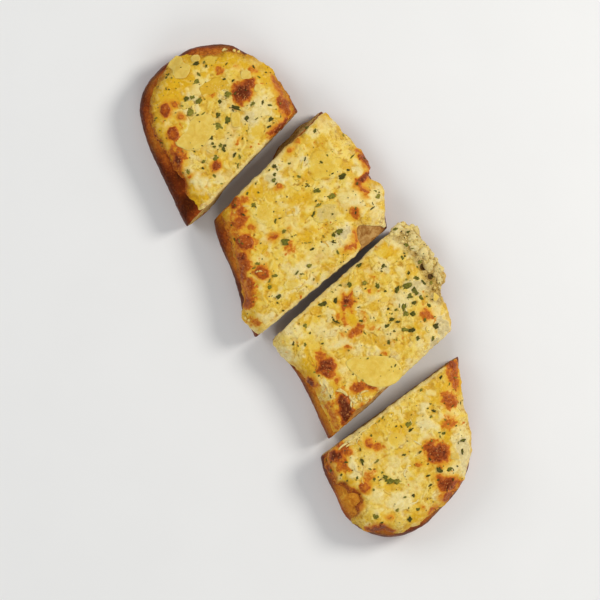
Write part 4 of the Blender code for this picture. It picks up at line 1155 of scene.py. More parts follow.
# The crust's darker and paler places, including painted shade of a crevice, with slow unevenness.
def bake_and_shade_of(piece, x, y, z):
    return near_places(BAKE_AND_SHADE[piece.key], x, y) + 0.12 * layers(piece.seed + 12, 20.0, 2, x, y, z)


def butter_of(piece, x, y):
    return near_places(SOAKED[piece.key], x, y)


# ---------------------------------------------------------------- the cheese
def make_cheese(piece, finish):
    loop = piece.edge
    xs, ys, zs = grid_for((loop[:, 0].min() - 1.5, loop[:, 1].min() - 1.5, 15.0),
                          (loop[:, 0].max() + 1.5, loop[:, 1].max() + 1.5, 36.5), CHEESE_STEP)
    x, y = np.meshgrid(xs, ys, indexing="ij")
    near = piece.from_cuts(x, y) > -3.0
    rows, cols = near.any(1), near.any(0)
    xs, ys = xs[rows], ys[cols]
    x, y = np.meshgrid(xs, ys, indexing="ij")
    inset = inside_distance(piece.loop, x, y)
    sheet = piece.sheet
    edge, thick, lip = (sheet.read(name, x, y) for name in ("edge", "thick", "lip"))
    rest = piece.rest(x, y, inset)
    cut = (piece.from_cuts(x, y) + 0.45 - near_places(SHORT[piece.key], x, y)
           + 0.75 * layers(piece.seed + 52, 8.0, 2, x, y) + 0.45 * layers(piece.seed + 54, 2.4, 2, x, y))
    top = rest + thick - 0.9 * ramp(3.2, 0.0, cut)
    low = rest - 0.45
    slope = np.sqrt(1 + sum(g * g for g in np.gradient(top, CHEESE_STEP)))
    slope_low = np.sqrt(1 + sum(g * g for g in np.gradient(low, CHEESE_STEP)))
    z = zs[None, None, :]
    over = (z - top[:, :, None]) / slope[:, :, None]
    under = (low[:, :, None] - z) / slope_low[:, :, None]
    field = soft_max(over, under, 0.6)
    field = soft_max(field, -edge[:, :, None], (0.7 + 1.9 * lip)[:, :, None])
    field = soft_max(field, -cut[:, :, None] + 0.25 * np.sin(z * 1.9), 1.3)
    verts, quads = surface(field, (xs[0], ys[0], zs[0]), CHEESE_STEP)
    verts = relax(verts, quads, 1, 0.30)
    mesh = thinned(f"cheese_melted_{piece.key}", verts, quads, 0.72)
    px, py, pz = points_of(mesh).T
    top_side = ramp(0.2, 1.4, pz - piece.rest(px, py))
    keep_looks(mesh, sheet, px, py, top_side)
    return new_piece(mesh.name, mesh, finish, (f"cheese_{piece.key}",))


def keep_looks(mesh, sheet, x, y, top_side):
    """Puts the layer's looks at these places on the mesh."""
    for name in ("white", "butter", "shade", "crumbly", "toast", "crack", "dirt", "halo"):
        keep(mesh, name, sheet.read(name, x, y))
    keep(mesh, "brown", sheet.read("brown", x, y) * (0.4 + 0.6 * top_side))
    for name in ("fine", "broad"):
        keep(mesh, name, sheet.read(name, x, y) * top_side)


def cheese_wobble(piece, x, y):
    still = 1 - 0.75 * np.clip(near_places(TORN[piece.key], x, y), 0, 1)
    return (1.5 * layers(piece.seed + 51, 9.0, 2, x, y) + 0.55 * noise(piece.seed + 53, 2.8, x, y)) * still


# ---------------------------------------------------------------- what lies on the cheese
class Ground:
    """Finds the top of the finished surfaces."""

    def __init__(self, objects):
        self.trees = [BVHTree.FromPolygons([v.co[:] for v in o.data.vertices],
                                           [p.vertices[:] for p in o.data.polygons]) for o in objects]

    def hit(self, x, y):
        best = None
        for tree in self.trees:
            where, normal, _, _ = tree.ray_cast(Vector((x * MM, y * MM, 0.1)), Vector((0, 0, -1)))
            if where is not None and (best is None or where.z > best[0].z):
                best = (where, normal)
        return best

    def height(self, x, y):
        found = self.hit(x, y)
        return found[0].z / MM if found else 0.0


# Large shavings: node, outline in the picture, greyness, how crisp the edge still is
SHAVINGS = (
    ("shaving_01", ((167.0, 64.3), (170.2, 60.0), (175.8, 54.6), (181.6, 56.4), (182.8, 62.2), (191, 66.2), (189.6, 72.3),
                    (185.8, 78.4), (175.4, 78.6), (173, 75.2), (172.5, 69.4), (169, 67.1)), 0.2, 0.9),
    ("shaving_02", ((201, 58), (206, 54), (213, 53), (219, 55), (221, 60), (217, 65), (210, 66.5), (203, 64.5)), 0.1, 0.4),
    ("shaving_03", ((199, 89), (203, 84), (209, 81), (215, 78), (223, 77), (229, 79), (231, 83.5), (227, 88),
                    (221, 91), (214, 93), (208, 95.5), (201, 94)), 0.0, 0.5),
    ("shaving_04", ((187, 130), (190, 121), (197, 116), (205, 113), (212, 116), (216, 124), (214, 132), (210, 138),
                    (205, 145), (197, 151), (187, 150), (177, 146.5), (175, 142), (181, 136)), 0.15, 0.7),
    ("shaving_05", ((247, 132), (250, 126), (257, 122), (263, 124), (266, 130), (264, 136), (259, 141), (250, 141)), 0.1, 0.4),
    ("shaving_06", ((309, 158), (315, 151), (324, 150), (334, 155), (343, 160), (341, 170), (336, 178), (325, 181),
                    (313, 180), (307, 170)), 0.1, 0.3),
    ("shaving_07", ((314.9, 208), (320.6, 205.5), (325.7, 201.7), (337, 200.4), (340.4, 205.5), (339.7, 213.2),
                    (339.5, 221.5), (330.8, 222), (323, 222.4), (315.5, 222), (312, 219.3), (314.3, 213.2)), 1.0, 0.45),
    ("shaving_08", ((253, 214), (256, 206), (263, 203), (271, 204), (275.6, 211), (273, 219), (267, 225.7), (258, 223)), 0.2, 0.3),
    ("shaving_09", ((284, 285), (287, 280), (294, 279), (301, 281), (299, 287), (293, 290), (286, 290)), 0.4, 0.4),
    ("shaving_10", ((372, 252), (377, 248), (385, 246), (392, 247), (395, 251), (390, 257), (382, 259), (375, 257)), 0.0, 0.4),
    ("shaving_11", ((345, 362), (351, 357.5), (362, 356.5), (375, 355.5), (387, 356), (395, 359), (399, 364), (403, 371),
                    (401, 378), (396, 383), (388, 386.5), (378, 387.5), (368, 385), (360, 379), (353, 373), (347, 367)), 0.0, 1.0),
    ("shaving_12", ((386, 438), (389, 433), (396, 431), (404, 433), (407, 440), (403, 447), (395, 450), (388, 446)), 0.1, 0.3),
)
# Smaller flakes of the same kind
FLAKES = (((190, 58), (193, 54.5), (198, 54), (200.5, 58), (198, 62), (192, 62)),
          ((230.5, 113), (240, 111.5), (241, 127), (232, 128)),
          ((240, 71.5), (250.5, 70.7), (251, 78.5), (241.5, 79.6)),
          ((254, 88), (256, 84), (260, 85), (261, 89.5), (258, 92), (254.5, 91)),
          ((222, 47.5), (225, 46.5), (227, 48.5), (224.5, 50)), ((237, 50), (239.5, 49), (240, 51.5), (237.5, 52)))


def evenly(loop, count):
    """Points at even steps along a closed outline."""
    ends = np.vstack([loop, loop[:1]])
    run = np.concatenate([[0.0], np.cumsum(np.hypot(*np.diff(ends, axis=0).T))])
    t = np.linspace(0, run[-1], count, endpoint=False)
    return np.column_stack([np.interp(t, run, ends[:, k]) for k in (0, 1)])


def softened(points, rounds=2):
    """A closed outline with its corners cut back a little."""
    p = np.asarray(points, dtype=float)
    for _ in range(rounds):
        after = np.roll(p, -1, 0)
        p = np.stack([0.86 * p + 0.14 * after, 0.14 * p + 0.86 * after], axis=1).reshape(-1, 2)
    return p


def flake(outline, ground, seed, rings, spokes, thick, stiff=0.45, curl=0.0, crisp=1.0):
    """A thin flake of this outline, sagged onto what is under it: vertices, faces and nearness to the rim."""
    rim = evenly(softened(outline, 1), spokes)
    rim = rim + 0.16 * np.column_stack([noise(seed, 1.7, *rim.T), noise(seed + 1, 1.7, *rim.T)])
    rim = rim + (1 - crisp) * 1.5 * np.column_stack([noise(seed + 5, 4.6, *rim.T), noise(seed + 6, 4.6, *rim.T)])
    middle = rim.mean(0)
    shares = [(k / rings) ** 0.8 for k in range(1, rings + 1)]
    flat = np.vstack([[middle]] + [middle + share * (rim - middle) for share in shares])
    share = np.concatenate([[0.0]] + [np.full(spokes, v) for v in shares])
    hs = np.array([ground.height(x, y) for x, y in flat])
    known = hs > 18
    if known.mean() < 0.6:
        return None
    basis = np.column_stack([flat - middle, np.ones(len(flat))])
    plane = basis @ np.linalg.lstsq(basis[known], hs[known], rcond=None)[0]
    hs = np.where(known & (hs > plane - 2.0), hs, plane - 0.6)
    apart = ((flat[:, None, :] - flat[None, :, :]) ** 2).sum(2)
    weights = np.exp(-apart / 1.8 ** 2)
    smooth = weights @ hs / weights.sum(1)
    base = (1 - stiff) * smooth + stiff * plane
    base = np.maximum(base, smooth - 0.15)
    slope = basis[:, 0] * math.cos(seed) + basis[:, 1] * math.sin(seed)
    reach = max(np.abs(slope).max(), 0.5)
    base = base + curl * np.clip(slope / reach, 0, 1) ** 2 + 0.12 * noise(seed + 2, 3.2, *flat.T)
    body = thick * (1 - (0.95 - 0.45 * crisp) * share ** 4)
    over = 0.16 - (1 - crisp) * 0.75 * share ** 5
    top = np.column_stack([flat, np.maximum(base + body - 0.1, hs + over)])
    bottom = np.column_stack([flat, base - 0.25])
    count = len(flat)
    faces = []
    for spoke in range(spokes):
        after = (spoke + 1) % spokes
        faces.append((0, 1 + spoke, 1 + after))
        faces.append((count, count + 1 + after, count + 1 + spoke))
        for ring in range(1, rings):
            a, b = 1 + (ring - 1) * spokes + spoke, 1 + (ring - 1) * spokes + after
            c, d = a + spokes, b + spokes
            faces += [(a, c, d), (a, d, b), (count + a, count + d, count + c), (count + a, count + b, count + d)]
        a, b = 1 + (rings - 1) * spokes + spoke, 1 + (rings - 1) * spokes + after
        faces += [(a, count + a, count + b), (a, count + b, b)]
    return np.vstack([top, bottom]), np.array(faces), np.concatenate([share, share])


# How the middle of a shaving that has melted in looks
MELTED_IN = dict(white=0.0, butter=0.20, shade=0.34, crumbly=0.0, toast=0.0, brown=0.0, dirt=0.10, halo=0.0,
                 crack=0.0, fine=0.0, broad=0.0)
GREYER = dict(white=0.30, crumbly=0.42, shade=0.30)


def make_shavings(pieces, ground, finish, soft_finish):
    """Thin flakes that have softened onto the cheese. The softest ones fade into it at their rims."""
    for number, (name, outline, grey, crisp) in enumerate(SHAVINGS):
        verts, faces, share = flake([at(*p) for p in outline], ground, 700 + 3 * number, 12, 64, 0.60,
                                    curl=0.5 * crisp, crisp=crisp)
        mesh = new_mesh(name + "_flake", verts, faces)
        keep(mesh, "tint", np.full(len(verts), grey))
        # rim: nearness to the edge, for the painted highlight along it.
        keep(mesh, "rim", share ** 10)
        if crisp < 0.5:
            x, y = verts[:, 0], verts[:, 1]
            holder = max(pieces, key=lambda piece: inside_distance(piece.edge, x, y).mean())
            melt = ramp(0.40 + 0.25 * grey, 0.92, share + 0.22 * noise(730 + number, 3.0, x, y))
            for key, middle in MELTED_IN.items():
                middle = middle + grey * GREYER.get(key, 0.0)
                keep(mesh, key, holder.sheet.read(key, x, y) * melt + middle * (1 - melt))
        new_piece(name + "_flake", mesh, finish if crisp > 0.5 else soft_finish, (name,))


def make_flakes(pieces, ground, finish):
    """Small broken bits of the shavings."""
    chance = np.random.default_rng(515)
    shapes = []
    wanted = [np.array([at(*p) for p in outline]) for outline in FLAKES]
    for x, y in random_spots(pieces, chance, 52, 3.0):
        corners = chance.integers(4, 7)
        turns = np.sort(chance.uniform(0, math.tau, corners))
        if np.diff(np.append(turns, turns[0] + math.tau)).max() > 2.6:
            continue
        looks = looks_at(pieces, x, y)
        if looks is None or looks["brown"] > 0.3 or looks["butter"] > 0.6 or looks["white"] > 0.8:
            continue
        size = chance.uniform(1.3, 3.4)
        long, angle = chance.uniform(1.0, 1.7), chance.uniform(0, math.tau)
        ring = np.column_stack([np.cos(turns) * size * long, np.sin(turns) * size]) * chance.uniform(0.8, 1.15, (corners, 1))
        spin = np.array([[math.cos(angle), math.sin(angle)], [-math.sin(angle), math.cos(angle)]])
        wanted.append(ring @ spin + (x, y))
    for number, outline in enumerate(wanted):
        made = flake(outline, ground, 900 + 3 * number, 4, 22, 0.42, curl=chance.uniform(0.0, 0.5))
        if made is not None:
            verts, faces, share = made
            # rim: nearness to the edge, for the painted highlight along it.
            shapes.append((verts, faces, {"tint": chance.random() ** 2 * 0.8, "rim": share ** 10}))
    joined("small_flakes", shapes, finish)


def shred(chance, ground, x, y, turn, length, width, tall, bend, sunk=0.15):
    """A grated strand that follows what is under it, partly sunk in it."""
    count = max(4, int(length / 1.1) + 2)
    t = np.linspace(-1, 1, count)
    u, v = t * length / 2, bend * (0.5 - t * t)
    px = x + u * math.cos(turn) - v * math.sin(turn)
    py = y + u * math.sin(turn) + v * math.cos(turn)
    hs = np.array([ground.height(a, b) for a, b in zip(px, py)])
    if hs.min() < 17.0 or hs.max() - hs.min() > 4.5:
        return None
    ends = np.pad(hs, 1, mode="edge")
    hs = 0.25 * ends[:-2] + 0.5 * hs + 0.25 * ends[2:] + tall * sunk
    hs = hs + chance.uniform(-0.1, 0.35) * t ** 2
    along = np.gradient(np.column_stack([px, py]), axis=0)
    along /= np.linalg.norm(along, axis=1)[:, None]
    full = np.sqrt(np.clip(1 - 0.86 * np.abs(t) ** 5, 0.1, 1)) * chance.uniform(0.88, 1.12, count)
    around = 6
    verts = []
    for k in range(count):
        for m in range(around):
            a = math.tau * (m + 0.5) / around
            side, up = math.cos(a) * width / 2 * full[k], math.sin(a) * tall / 2 * full[k]
            verts.append((px[k] - along[k, 1] * side, py[k] + along[k, 0] * side, hs[k] + up))
    verts += [(px[0], py[0], hs[0]), (px[-1], py[-1], hs[-1])]
    first, last = count * around, count * around + 1
    faces = []
    for m in range(around):
        n = (m + 1) % around
        for k in range(count - 1):
            a, b, c, d = k * around + m, k * around + n, (k + 1) * around + m, (k + 1) * around + n
            faces += [(a, c, d), (a, d, b)]
        faces.append((first, m, n))
        faces.append((last, (count - 1) * around + n, (count - 1) * around + m))
    return np.array(verts), np.array(faces)


def looks_at(pieces, x, y):
    """The melted layer's looks at a place, for a bit that lies in it."""
    spot = (np.array([x]), np.array([y]))
    for piece in pieces:
        if inside_distance(piece.edge, *spot)[0] > -1.5 and piece.from_cuts(*spot)[0] > -3.0:
            found = {name: float(piece.sheet.read(name, *spot)[0])
                     for name in ("white", "butter", "shade", "crumbly", "toast", "brown", "dirt", "halo", "crack")}
            return {**found, "fine": 0.1, "broad": 0.2}
    return None


# Where grated strands lie thickest: picture place, spread in millimetres, how many, turn in the picture
SHRED_HEAPS = ((360, 402, 6.0, 16, 60), (328, 396, 5.0, 12, 60), (312, 365, 6.0, 5, 120), (250, 292, 7.0, 9, 40),
               (205, 205, 5.0, 9, 45), (352, 228, 6.0, 4, 0), (300, 280, 8.0, 5, 40), (288, 352, 7.0, 4, 30),
               (398, 238, 9.0, 6, 140), (345, 440, 6.0, 5, 35), (385, 412, 8.0, 4, 35))


# Single strands that stand out: picture place, length and width in millimetres, turn, bend in millimetres
LONG_SHREDS = ((343, 392, 7.5, 2.0, -38, 0.8), (352.5, 399.5, 7.0, 1.9, -46, -0.9), (358.5, 406, 7.0, 1.9, 82, -1.4),
               (354, 415.5, 7.0, 1.7, 62, 0.8), (360, 398, 5.0, 1.6, -55, 1.2),
               (341, 392, 7.0, 1.4, -20, 0.8), (352, 402, 7.0, 1.4, 75, 1.0), (364, 392, 6.0, 1.4, 20, 0.8),
               (343, 446, 8.0, 1.4, 36, 0.6), (353, 439, 7.0, 1.2, 41, -0.6), (362, 432, 7.0, 1.2, 37, 0.5),
               (371, 425, 6.0, 1.1, 40, 0.4), (350, 445, 6.0, 1.3, 18, 0.8), (358, 440, 5.0, 1.1, 62, 0.6),
               (327, 388, 8.0, 1.5, -66, 0.9), (322, 384, 6.0, 1.3, -50, -0.8), (259, 271.5, 4.4, 1.2, 8, 0.5))


def make_shreds(pieces, ground, finish):
    """Strands of grated cheese that have kept some of their shape."""
    chance = np.random.default_rng(616)
    shapes, wanted = [], []
    for px, py, spread, count, turn in SHRED_HEAPS:
        for _ in range(count):
            x, y = at(px, py) + chance.normal(0, spread / 2, 2)
            wanted.append((x, y, turned(turn) + chance.normal(0, 0.6)))
    for x, y in random_spots(pieces, chance, 120, 0.5):
        wanted.append((x, y, 2.8 * float(noise(5, 32.0, x, y)) + chance.normal(0, 0.8)))
    for x, y, turn in wanted:
        looks = looks_at(pieces, x, y)
        length, width = chance.uniform(2.4, 6.5), chance.uniform(0.8, 1.6)
        bend = chance.uniform(-0.28, 0.28) * length
        if looks is None or (looks["brown"] > 0.5 and chance.random() < 0.6):
            continue
        made = shred(chance, ground, x, y, turn, length, width, width * chance.uniform(0.5, 0.8), bend,
                     chance.uniform(-0.35, 0.10))
        if made is not None:
            looks["shade"], looks["crack"] = chance.random(), 0.0
            looks["brown"] = looks["brown"] * 0.8 + 0.25 * (chance.random() < 0.12)
            shapes.append((*made, looks))
    for px, py, length, width, turn, bend in LONG_SHREDS:
        x, y = at(px, py)
        looks, made = looks_at(pieces, x, y), shred(chance, ground, x, y, turned(turn), length, width, 0.7 * width, bend)
        if looks is not None and made is not None:
            looks.update(white=0.25, brown=0.0, toast=0.0, butter=0.0, halo=0.1, crack=0.0, shade=0.80, dirt=0.7)
            shapes.append((*made, looks))
    joined("grated_strands", shapes, finish)


# Crumbling cheese: picture place, spread along, spread across in millimetres, turn, how many, the largest
CRUMBLES = ((400, 228, 9.0, 4.5, -35, 34, 3.3), (418, 246, 7.0, 5.0, -55, 34, 3.3), (430, 264, 7.0, 5.0, -65, 30, 3.3),
            (440, 284, 5.0, 3.5, -80, 16, 3.0), (395, 221, 8.0, 1.8, 0, 16, 2.6), (436, 240, 2.6, 2.0, 0, 4, 3.0),
            (276, 323, 4.0, 2.0, 30, 3, 2.2), (235, 213, 0.3, 0.3, 0, 1, 1.7), (246, 318, 2.6, 1.6, 0, 3, 2.4),
            (346, 443, 6.0, 0.8, 38, 7, 1.2), (361, 397, 2.5, 2.0, 0, 5, 1.5), (453, 414, 1.0, 1.0, 0, 1, 1.3),
            (230, 49, 7.0, 0.8, 4, 9, 1.1))


def make_crumbles(pieces, ground, finish):
    """Loose lumps of curd at the rough rims."""
    chance = np.random.default_rng(717)
    shapes = []
    balls = []
    for level in (3, 2):
        bm = bmesh.new()
        bmesh.ops.create_icosphere(bm, subdivisions=level, radius=1.0)
        balls.append((np.array([v.co[:] for v in bm.verts]), np.array([[v.index for v in f.verts] for f in bm.faces])))
        bm.free()
    for px, py, long, across, turn, count, largest in CRUMBLES:
        cx, cy = at(px, py)
        angle = turned(turn)
        for _ in range(count):
            u, v = chance.normal(0, long * 0.6), chance.normal(0, across * 0.6)
            x, y = cx + u * math.cos(angle) - v * math.sin(angle), cy + u * math.sin(angle) + v * math.cos(angle)
            height, looks = ground.height(x, y), looks_at(pieces, x, y)
            if height < 19.0 or looks is None or looks["crack"] > 0.55:
                continue
            size = largest * (0.30 + 0.70 * chance.random() ** 1.5)
            seed = int(chance.integers(0, 10000))
            ball, faces = balls[0 if size > 1.7 else 1]
            shape = ball * (1 + 0.55 * layers(seed, 1.0, 2, *ball.T))[:, None]
            stretch, pale = (0.25, 1.0) if largest > 2.5 else (0.48, 0.5)
            shape = shape * chance.uniform(1 - stretch, 1 + stretch, 3) * size
            looks.update(white=pale * chance.uniform(0.3, 0.9), crumbly=chance.uniform(0.0, 0.55),
                         shade=chance.uniform(0.5, 1.0), butter=0.0, toast=0.0, brown=0.0, halo=0.0, crack=0.0)
            shapes.append((shape + (x, y, height + size * chance.uniform(-0.25, 0.25)), faces, looks))
    joined("cheese_crumbles", shapes, finish)


# Parsley flecks: picture place, length and width in millimetres, turn in the picture
PARSLEY = (
    (235.9, 107.6, 10.4, 2.6, 160), (228.5, 94, 4.4, 3.8, 20), (227.6, 120.5, 5.4, 3.0, 80), (218, 126.5, 6.0, 4.0, 150),
    (218, 115, 4.0, 3.2, 20), (223.8, 149.5, 4.4, 2.4, 110), (271, 119, 4.2, 2.2, 50), (247, 118.6, 3.4, 2.8, 80),
    (186.1, 98.9, 3.6, 3.0, 56), (192.5, 97.6, 3.4, 2.6, 30), (198.9, 100.8, 4.8, 3.4, 60), (189.3, 111.6, 7.4, 4.4, 130),
    (196.3, 82.3, 4.4, 3.0, 30), (219.3, 102.1, 4.6, 2.4, 40), (262.7, 102.7, 3.2, 1.4, 80), (270.3, 105.3, 2.2, 1.6, 0),
    (269, 127, 3.0, 1.6, 20), (211, 137.8, 3.2, 2.8, 60), (212.9, 143.5, 2.0, 1.8, 0), (214.2, 146.7, 2.0, 1.8, 0),
    (220.6, 145.4, 2.6, 2.2, 90), (225, 145.4, 2.6, 1.6, 20), (216.1, 158.2, 4.6, 3.2, 70), (234.6, 155, 3.6, 1.6, 60),
    (239.7, 156.9, 3.6, 1.4, 100), (204, 161.4, 2.8, 2.4, 30), (188, 171.6, 3.4, 2.6, 130), (214.8, 176, 4.0, 1.4, 140),
    (238.2, 164.6, 2.8, 1.2, 60), (198.9, 74.6, 3.2, 1.6, 140), (224.4, 79.1, 2.2, 1.4, 20), (196.3, 63.6, 4.0, 3.0, 20),
    (166.4, 77.8, 1.6, 1.6, 90), (203.3, 113.5, 4.0, 0.9, 40), (253, 104, 4.0, 2.0, 30),
    (274, 166.1, 3.0, 2.6, 60), (289.3, 163.6, 2.0, 1.6, 28), (274.6, 174.4, 2.8, 2.0, 60), (274, 180.2, 3.0, 2.6, 40),
    (298.9, 177, 2.4, 1.6, 160), (351.8, 156.6, 4.6, 1.2, 40), (342.2, 176.4, 5.6, 3.6, 20), (348, 170, 2.4, 1.6, 0),
    (305.2, 159.1, 2.6, 1.0, 70), (316.7, 190.4, 5.6, 4.0, 10), (331.4, 196.8, 5.0, 3.4, 20), (247.2, 193.6, 2.2, 1.4, 60),
    (253.6, 205, 3.4, 2.4, 40), (318.6, 205, 4.6, 1.6, 30), (313.5, 214, 4.0, 1.4, 60), (339, 231.8, 5.0, 4.0, 0),
    (333.9, 235, 3.4, 2.4, 70), (333.9, 242, 3.2, 2.4, 0), (377.9, 196.1, 3.8, 3.2, 50), (372.2, 208.2, 4.6, 1.2, 30),
    (275.3, 221.6, 3.6, 1.2, 80), (284.2, 231.2, 3.2, 2.2, 30), (285.5, 242, 5.4, 4.4, 0), (312.2, 249, 3.4, 1.6, 20),
    (309, 265.6, 3.8, 3.0, 30), (297, 272.7, 3.8, 1.4, 50), (302, 274, 3.0, 1.4, 0), (258, 263.7, 3.6, 1.8, 0),
    (274.6, 275.8, 3.6, 2.2, 20), (269.5, 287.3, 3.4, 2.4, 30), (279, 296.3, 4.8, 2.8, 30), (337.8, 252.2, 2.8, 1.4, 110),
    (307.9, 127.6, 4.2, 2.4, 20), (315, 130.8, 3.4, 1.8, 60), (301.6, 121.8, 3.2, 1.6, 20),
    (407, 286, 6.0, 4.2, 40), (415, 291, 5.4, 4.0, 120), (410, 296, 4.4, 3.2, 20), (404, 307, 5.0, 3.2, 60),
    (406, 314, 4.2, 3.0, 70), (323, 304.3, 6.4, 3.0, 20), (412.5, 314, 4.6, 3.6, 36), (436, 326, 5.0, 4.2, 0),
    (397, 290, 5.4, 2.8, 62), (377.7, 285.2, 4.6, 3.2, 100), (405, 329.6, 5.6, 2.6, 166), (335.6, 321.4, 5.0, 2.6, 140),
    (412, 330.6, 4.6, 3.0, 30), (421.3, 297.6, 3.6, 2.8, 126), (391.8, 319.4, 3.8, 3.0, 20), (387, 325.6, 4.0, 2.4, 30),
    (416.4, 277.8, 3.8, 2.6, 160), (433, 338, 4.0, 2.0, 72), (429, 305, 3.2, 2.4, 150), (418, 338, 3.2, 2.4, 100),
    (305.2, 326, 3.4, 2.4, 71), (349.6, 285.5, 4.2, 3.0, 120), (340.3, 285.4, 2.4, 1.8, 0), (365.2, 283, 4.4, 2.6, 30),
    (423.4, 282.4, 3.4, 1.8, 135), (406, 245, 3.4, 2.2, 135), (305, 344.7, 2.6, 1.6, 90), (388.6, 342.8, 3.4, 1.8, 96),
    (293.4, 343.8, 2.4, 1.4, 72), (408.8, 273, 2.6, 1.8, 90), (408.2, 231.8, 3.0, 1.6, 18), (402.5, 258, 3.0, 1.6, 120),
    (395.7, 310, 3.0, 1.4, 62), (359, 265.5, 4.6, 2.2, 30), (335.8, 300.7, 4.0, 2.4, 70), (361.4, 321.1, 2.6, 1.8, 0),
    (383, 266.3, 3.8, 2.0, 60), (420, 262, 3.4, 2.4, 30), (431, 283, 3.6, 2.6, 60), (396, 229, 3.4, 2.0, 20),
    (414, 303, 3.0, 2.4, 20), (425, 320, 3.0, 1.8, 60), (398, 322, 3.0, 2.0, 20),
    (390, 480.5, 6.4, 3.8, 10), (397, 481, 5.0, 3.6, 160), (375.2, 516.4, 5.0, 4.0, 170), (408.8, 424.3, 5.0, 3.4, 46),
    (409.8, 518.8, 4.6, 3.0, 118), (462.9, 440.5, 5.0, 2.0, 0), (385.1, 476.7, 4.0, 2.6, 150), (468.6, 474, 3.6, 1.6, 53),
    (439.2, 469.8, 4.0, 3.4, 135), (413.2, 495.5, 2.6, 2.2, 90), (462.3, 451.7, 4.2, 1.8, 93), (397.7, 509.7, 2.6, 1.8, 45),
    (410.8, 429.6, 3.6, 1.8, 40), (433.8, 410.8, 3.0, 1.6, 160), (427.5, 475.5, 3.6, 1.4, 20), (377.7, 461, 2.6, 1.4, 62),
    (362, 461, 6.0, 2.2, 118), (450, 469, 4.0, 2.6, 30), (430, 485, 3.0, 1.6, 30), (357, 478, 3.0, 1.6, 50),
    (346, 462, 2.4, 1.6, 0), (420, 452, 2.6, 1.4, 60), (444, 433, 3.0, 1.8, 20), (421, 390, 2.6, 1.6, 30),
    (441, 377, 3.0, 1.6, 50), (404, 455, 3.0, 1.4, 10), (374, 479, 2.6, 1.4, 90), (418, 509, 3.0, 1.8, 20),
)


def fleck(chance, length, width):
    """One piece of chopped leaf: a thin closed shape with uneven edges, bent a little."""
    around = 14 if max(length, width) > 2.4 else 8
    jag = chance.uniform(0.66, 1.14, around)
    for _ in range(around // 5):
        jag[chance.integers(0, around)] *= 0.55
    ring = [(length / 2 * jag[k] * math.cos(math.tau * k / around),
             width / 2 * jag[k] * math.sin(math.tau * k / around)) for k in range(around)]
    half = [(0.5 * x + chance.uniform(-0.05, 0.05) * length, 0.5 * y) for x, y in ring]
    bend, fold = chance.uniform(-0.10, 0.16), chance.uniform(-0.05, 0.30)
    flat = [(0.0, 0.0)] + half + ring
    verts = []
    for thick in (0.16, -0.16):
        for x, y in flat:
            z = thick + bend * (x * x) / max(length, 1) + fold * abs(y) + chance.uniform(-0.09, 0.09)
            verts.append((x, y, z))
    count = len(flat)
    faces = []
    for k in range(around):
        n = (k + 1) % around
        a, b, c, d = 1 + k, 1 + n, 1 + around + k, 1 + around + n
        faces += [(0, a, b), (a, c, d), (a, d, b)]
        faces += [(count, count + b, count + a), (count + a, count + d, count + c), (count + a, count + b, count + d)]
        faces += [(c, count + c, count + d), (c, count + d, d)]
    return np.array(verts), np.array(faces)


def lay(verts, ground, x, y, turn, chance, lift=0.2, tilt=0.25):
    """Turns a small shape to the slope under it and rests it there. None where nothing is under."""
    found = ground.hit(x, y)
    if found is None or found[0].z < 0.018:
        return None
    where, normal = found
    normal = (normal + Vector((chance.uniform(-tilt, tilt), chance.uniform(-tilt, tilt), 0.0))).normalized()
    if normal.z < 0.35:
        normal = Vector((normal.x, normal.y, 0.6)).normalized()
    frame_of = Vector((0, 0, 1)).rotation_difference(normal).to_matrix() @ Matrix.Rotation(turn, 3, "Z")
    turned_verts = verts @ np.array(frame_of).T
    return turned_verts + np.array([where.x / MM, where.y / MM, where.z / MM]) + lift * np.array(normal)


def joined(name, shapes, finish):
    """One mesh of many small shapes. Each brings its own values for the looks."""
    verts, faces, values, start = [], [], {key: [] for key in shapes[0][2]}, 0
    for v, f, looks in shapes:
        verts.append(v)
        faces.append(f + start)
        for key, value in looks.items():
            values[key].append(np.broadcast_to(value, len(v)))
        start += len(v)
    mesh = new_mesh(name, np.vstack(verts), np.vstack(faces))
    for key, parts in values.items():
        keep(mesh, key, np.concatenate(parts))
    return new_piece(name, mesh, finish)


def random_spots(pieces, chance, count, margin=2.0):
    """Random places on the cheese, more on the middle of each piece."""
    made = []
    while len(made) < count:
        piece = pieces[chance.integers(0, 4)]
        low, high = piece.edge.min(0), piece.edge.max(0)
        x, y = chance.uniform(low, high)
        spot = (np.array([x]), np.array([y]))
        if inside_distance(piece.edge, *spot)[0] < margin or piece.from_cuts(*spot)[0] < margin:
            continue
        if noise(77, 16.0, *spot)[0] < chance.uniform(-0.9, 0.7):
            continue
        made.append((x, y))
    return made


def make_parsley(pieces, ground, finish):
    chance = np.random.default_rng(2024)
    shapes = []
    wanted = [(at(px, py), length, width, turned(turn)) for px, py, length, width, turn in PARSLEY]
    for spot in random_spots(pieces, chance, 170):
        wanted.append((spot, chance.uniform(0.9, 2.6), chance.uniform(0.6, 1.5), chance.uniform(0, math.tau)))
    for spot in random_spots(pieces, chance, 150, 1.0):
        wanted.append((spot, chance.uniform(0.5, 1.0), chance.uniform(0.4, 0.8), chance.uniform(0, math.tau)))
    for (x, y), length, width, turn in wanted:
        verts, faces = fleck(chance, length * 1.16, width * 1.12)
        placed = lay(verts, ground, x, y, turn, chance)
        if placed is not None:
            tint = np.clip(chance.random() ** 1.2 + chance.normal(0, 0.16, len(placed)), 0, 1)
            shapes.append((placed, faces, {"tint": tint}))
    joined("parsley_flecks", shapes, finish)


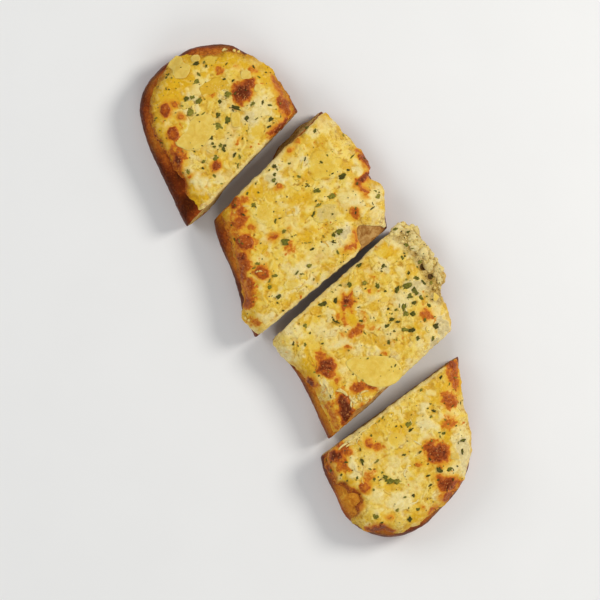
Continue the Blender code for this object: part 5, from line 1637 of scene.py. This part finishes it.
def grain(chance, size):
    """A crushed peppercorn bit: a small uneven ball."""
    bm = bmesh.new()
    bmesh.ops.create_icosphere(bm, subdivisions=1, radius=size / 2)
    verts = np.array([v.co[:] for v in bm.verts])
    faces = np.array([[v.index for v in f.verts] for f in bm.faces])
    bm.free()
    return verts * chance.uniform(0.6, 1.15, (len(verts), 1)) * chance.uniform(0.7, 1.2, 3), faces


def make_pepper(pieces, ground, finish):
    chance = np.random.default_rng(99)
    shapes = []
    for x, y in random_spots(pieces, chance, 190, 1.0):
        verts, faces = grain(chance, chance.uniform(0.45, 1.0))
        placed = lay(verts, ground, x, y, chance.uniform(0, math.tau), chance, lift=0.12)
        if placed is not None:
            shapes.append((placed, faces, {"tint": chance.random()}))
    joined("ground_pepper", shapes, finish)


# ---------------------------------------------------------------- making it
pieces = [Piece(key) for key in PIECES]
for piece in pieces:
    piece.make_sheet()
bread_finish, cheese_finish = bread_material(), cheese_material("browned_melted_cheese")
breads = [make_bread(piece, bread_finish) for piece in pieces]
cheeses = [make_cheese(piece, cheese_finish) for piece in pieces]
cheese_ground = Ground(cheeses)
shaving_finish = shaving_material()
make_shavings(pieces, cheese_ground, shaving_finish, cheese_material("softened_hard_cheese"))
make_flakes(pieces, cheese_ground, shaving_finish)
make_shreds(pieces, cheese_ground, cheese_finish)
make_crumbles(pieces, cheese_ground, cheese_finish)
laid = [o for o in bpy.context.scene.objects if o.name.endswith(("_flake", "_flakes", "_strands", "_crumbles"))]
ground = Ground(cheeses + breads + laid)
make_parsley(pieces, ground, parsley_material())
make_pepper(pieces, ground, pepper_material())

# ---------------------------------------------------------------- the floor
floor_mesh = new_mesh("floor", np.array([(-3000, -3000, 0), (3000, -3000, 0), (3000, 3000, 0), (-3000, 3000, 0)],
                                        dtype=float) - np.array([0, 0, 0.05]), [(0, 1, 2, 3)])
floor = bpy.data.objects.new("floor", floor_mesh)
bpy.context.scene.collection.objects.link(floor)
floor_shader = Shader("pale_floor")
floor_mesh.materials.append(floor_shader.finish(
    floor_shader.mix(floor_shader.noise(60.0, 2.0), (0.80, 0.80, 0.79), (0.83, 0.83, 0.82)), 0.85))
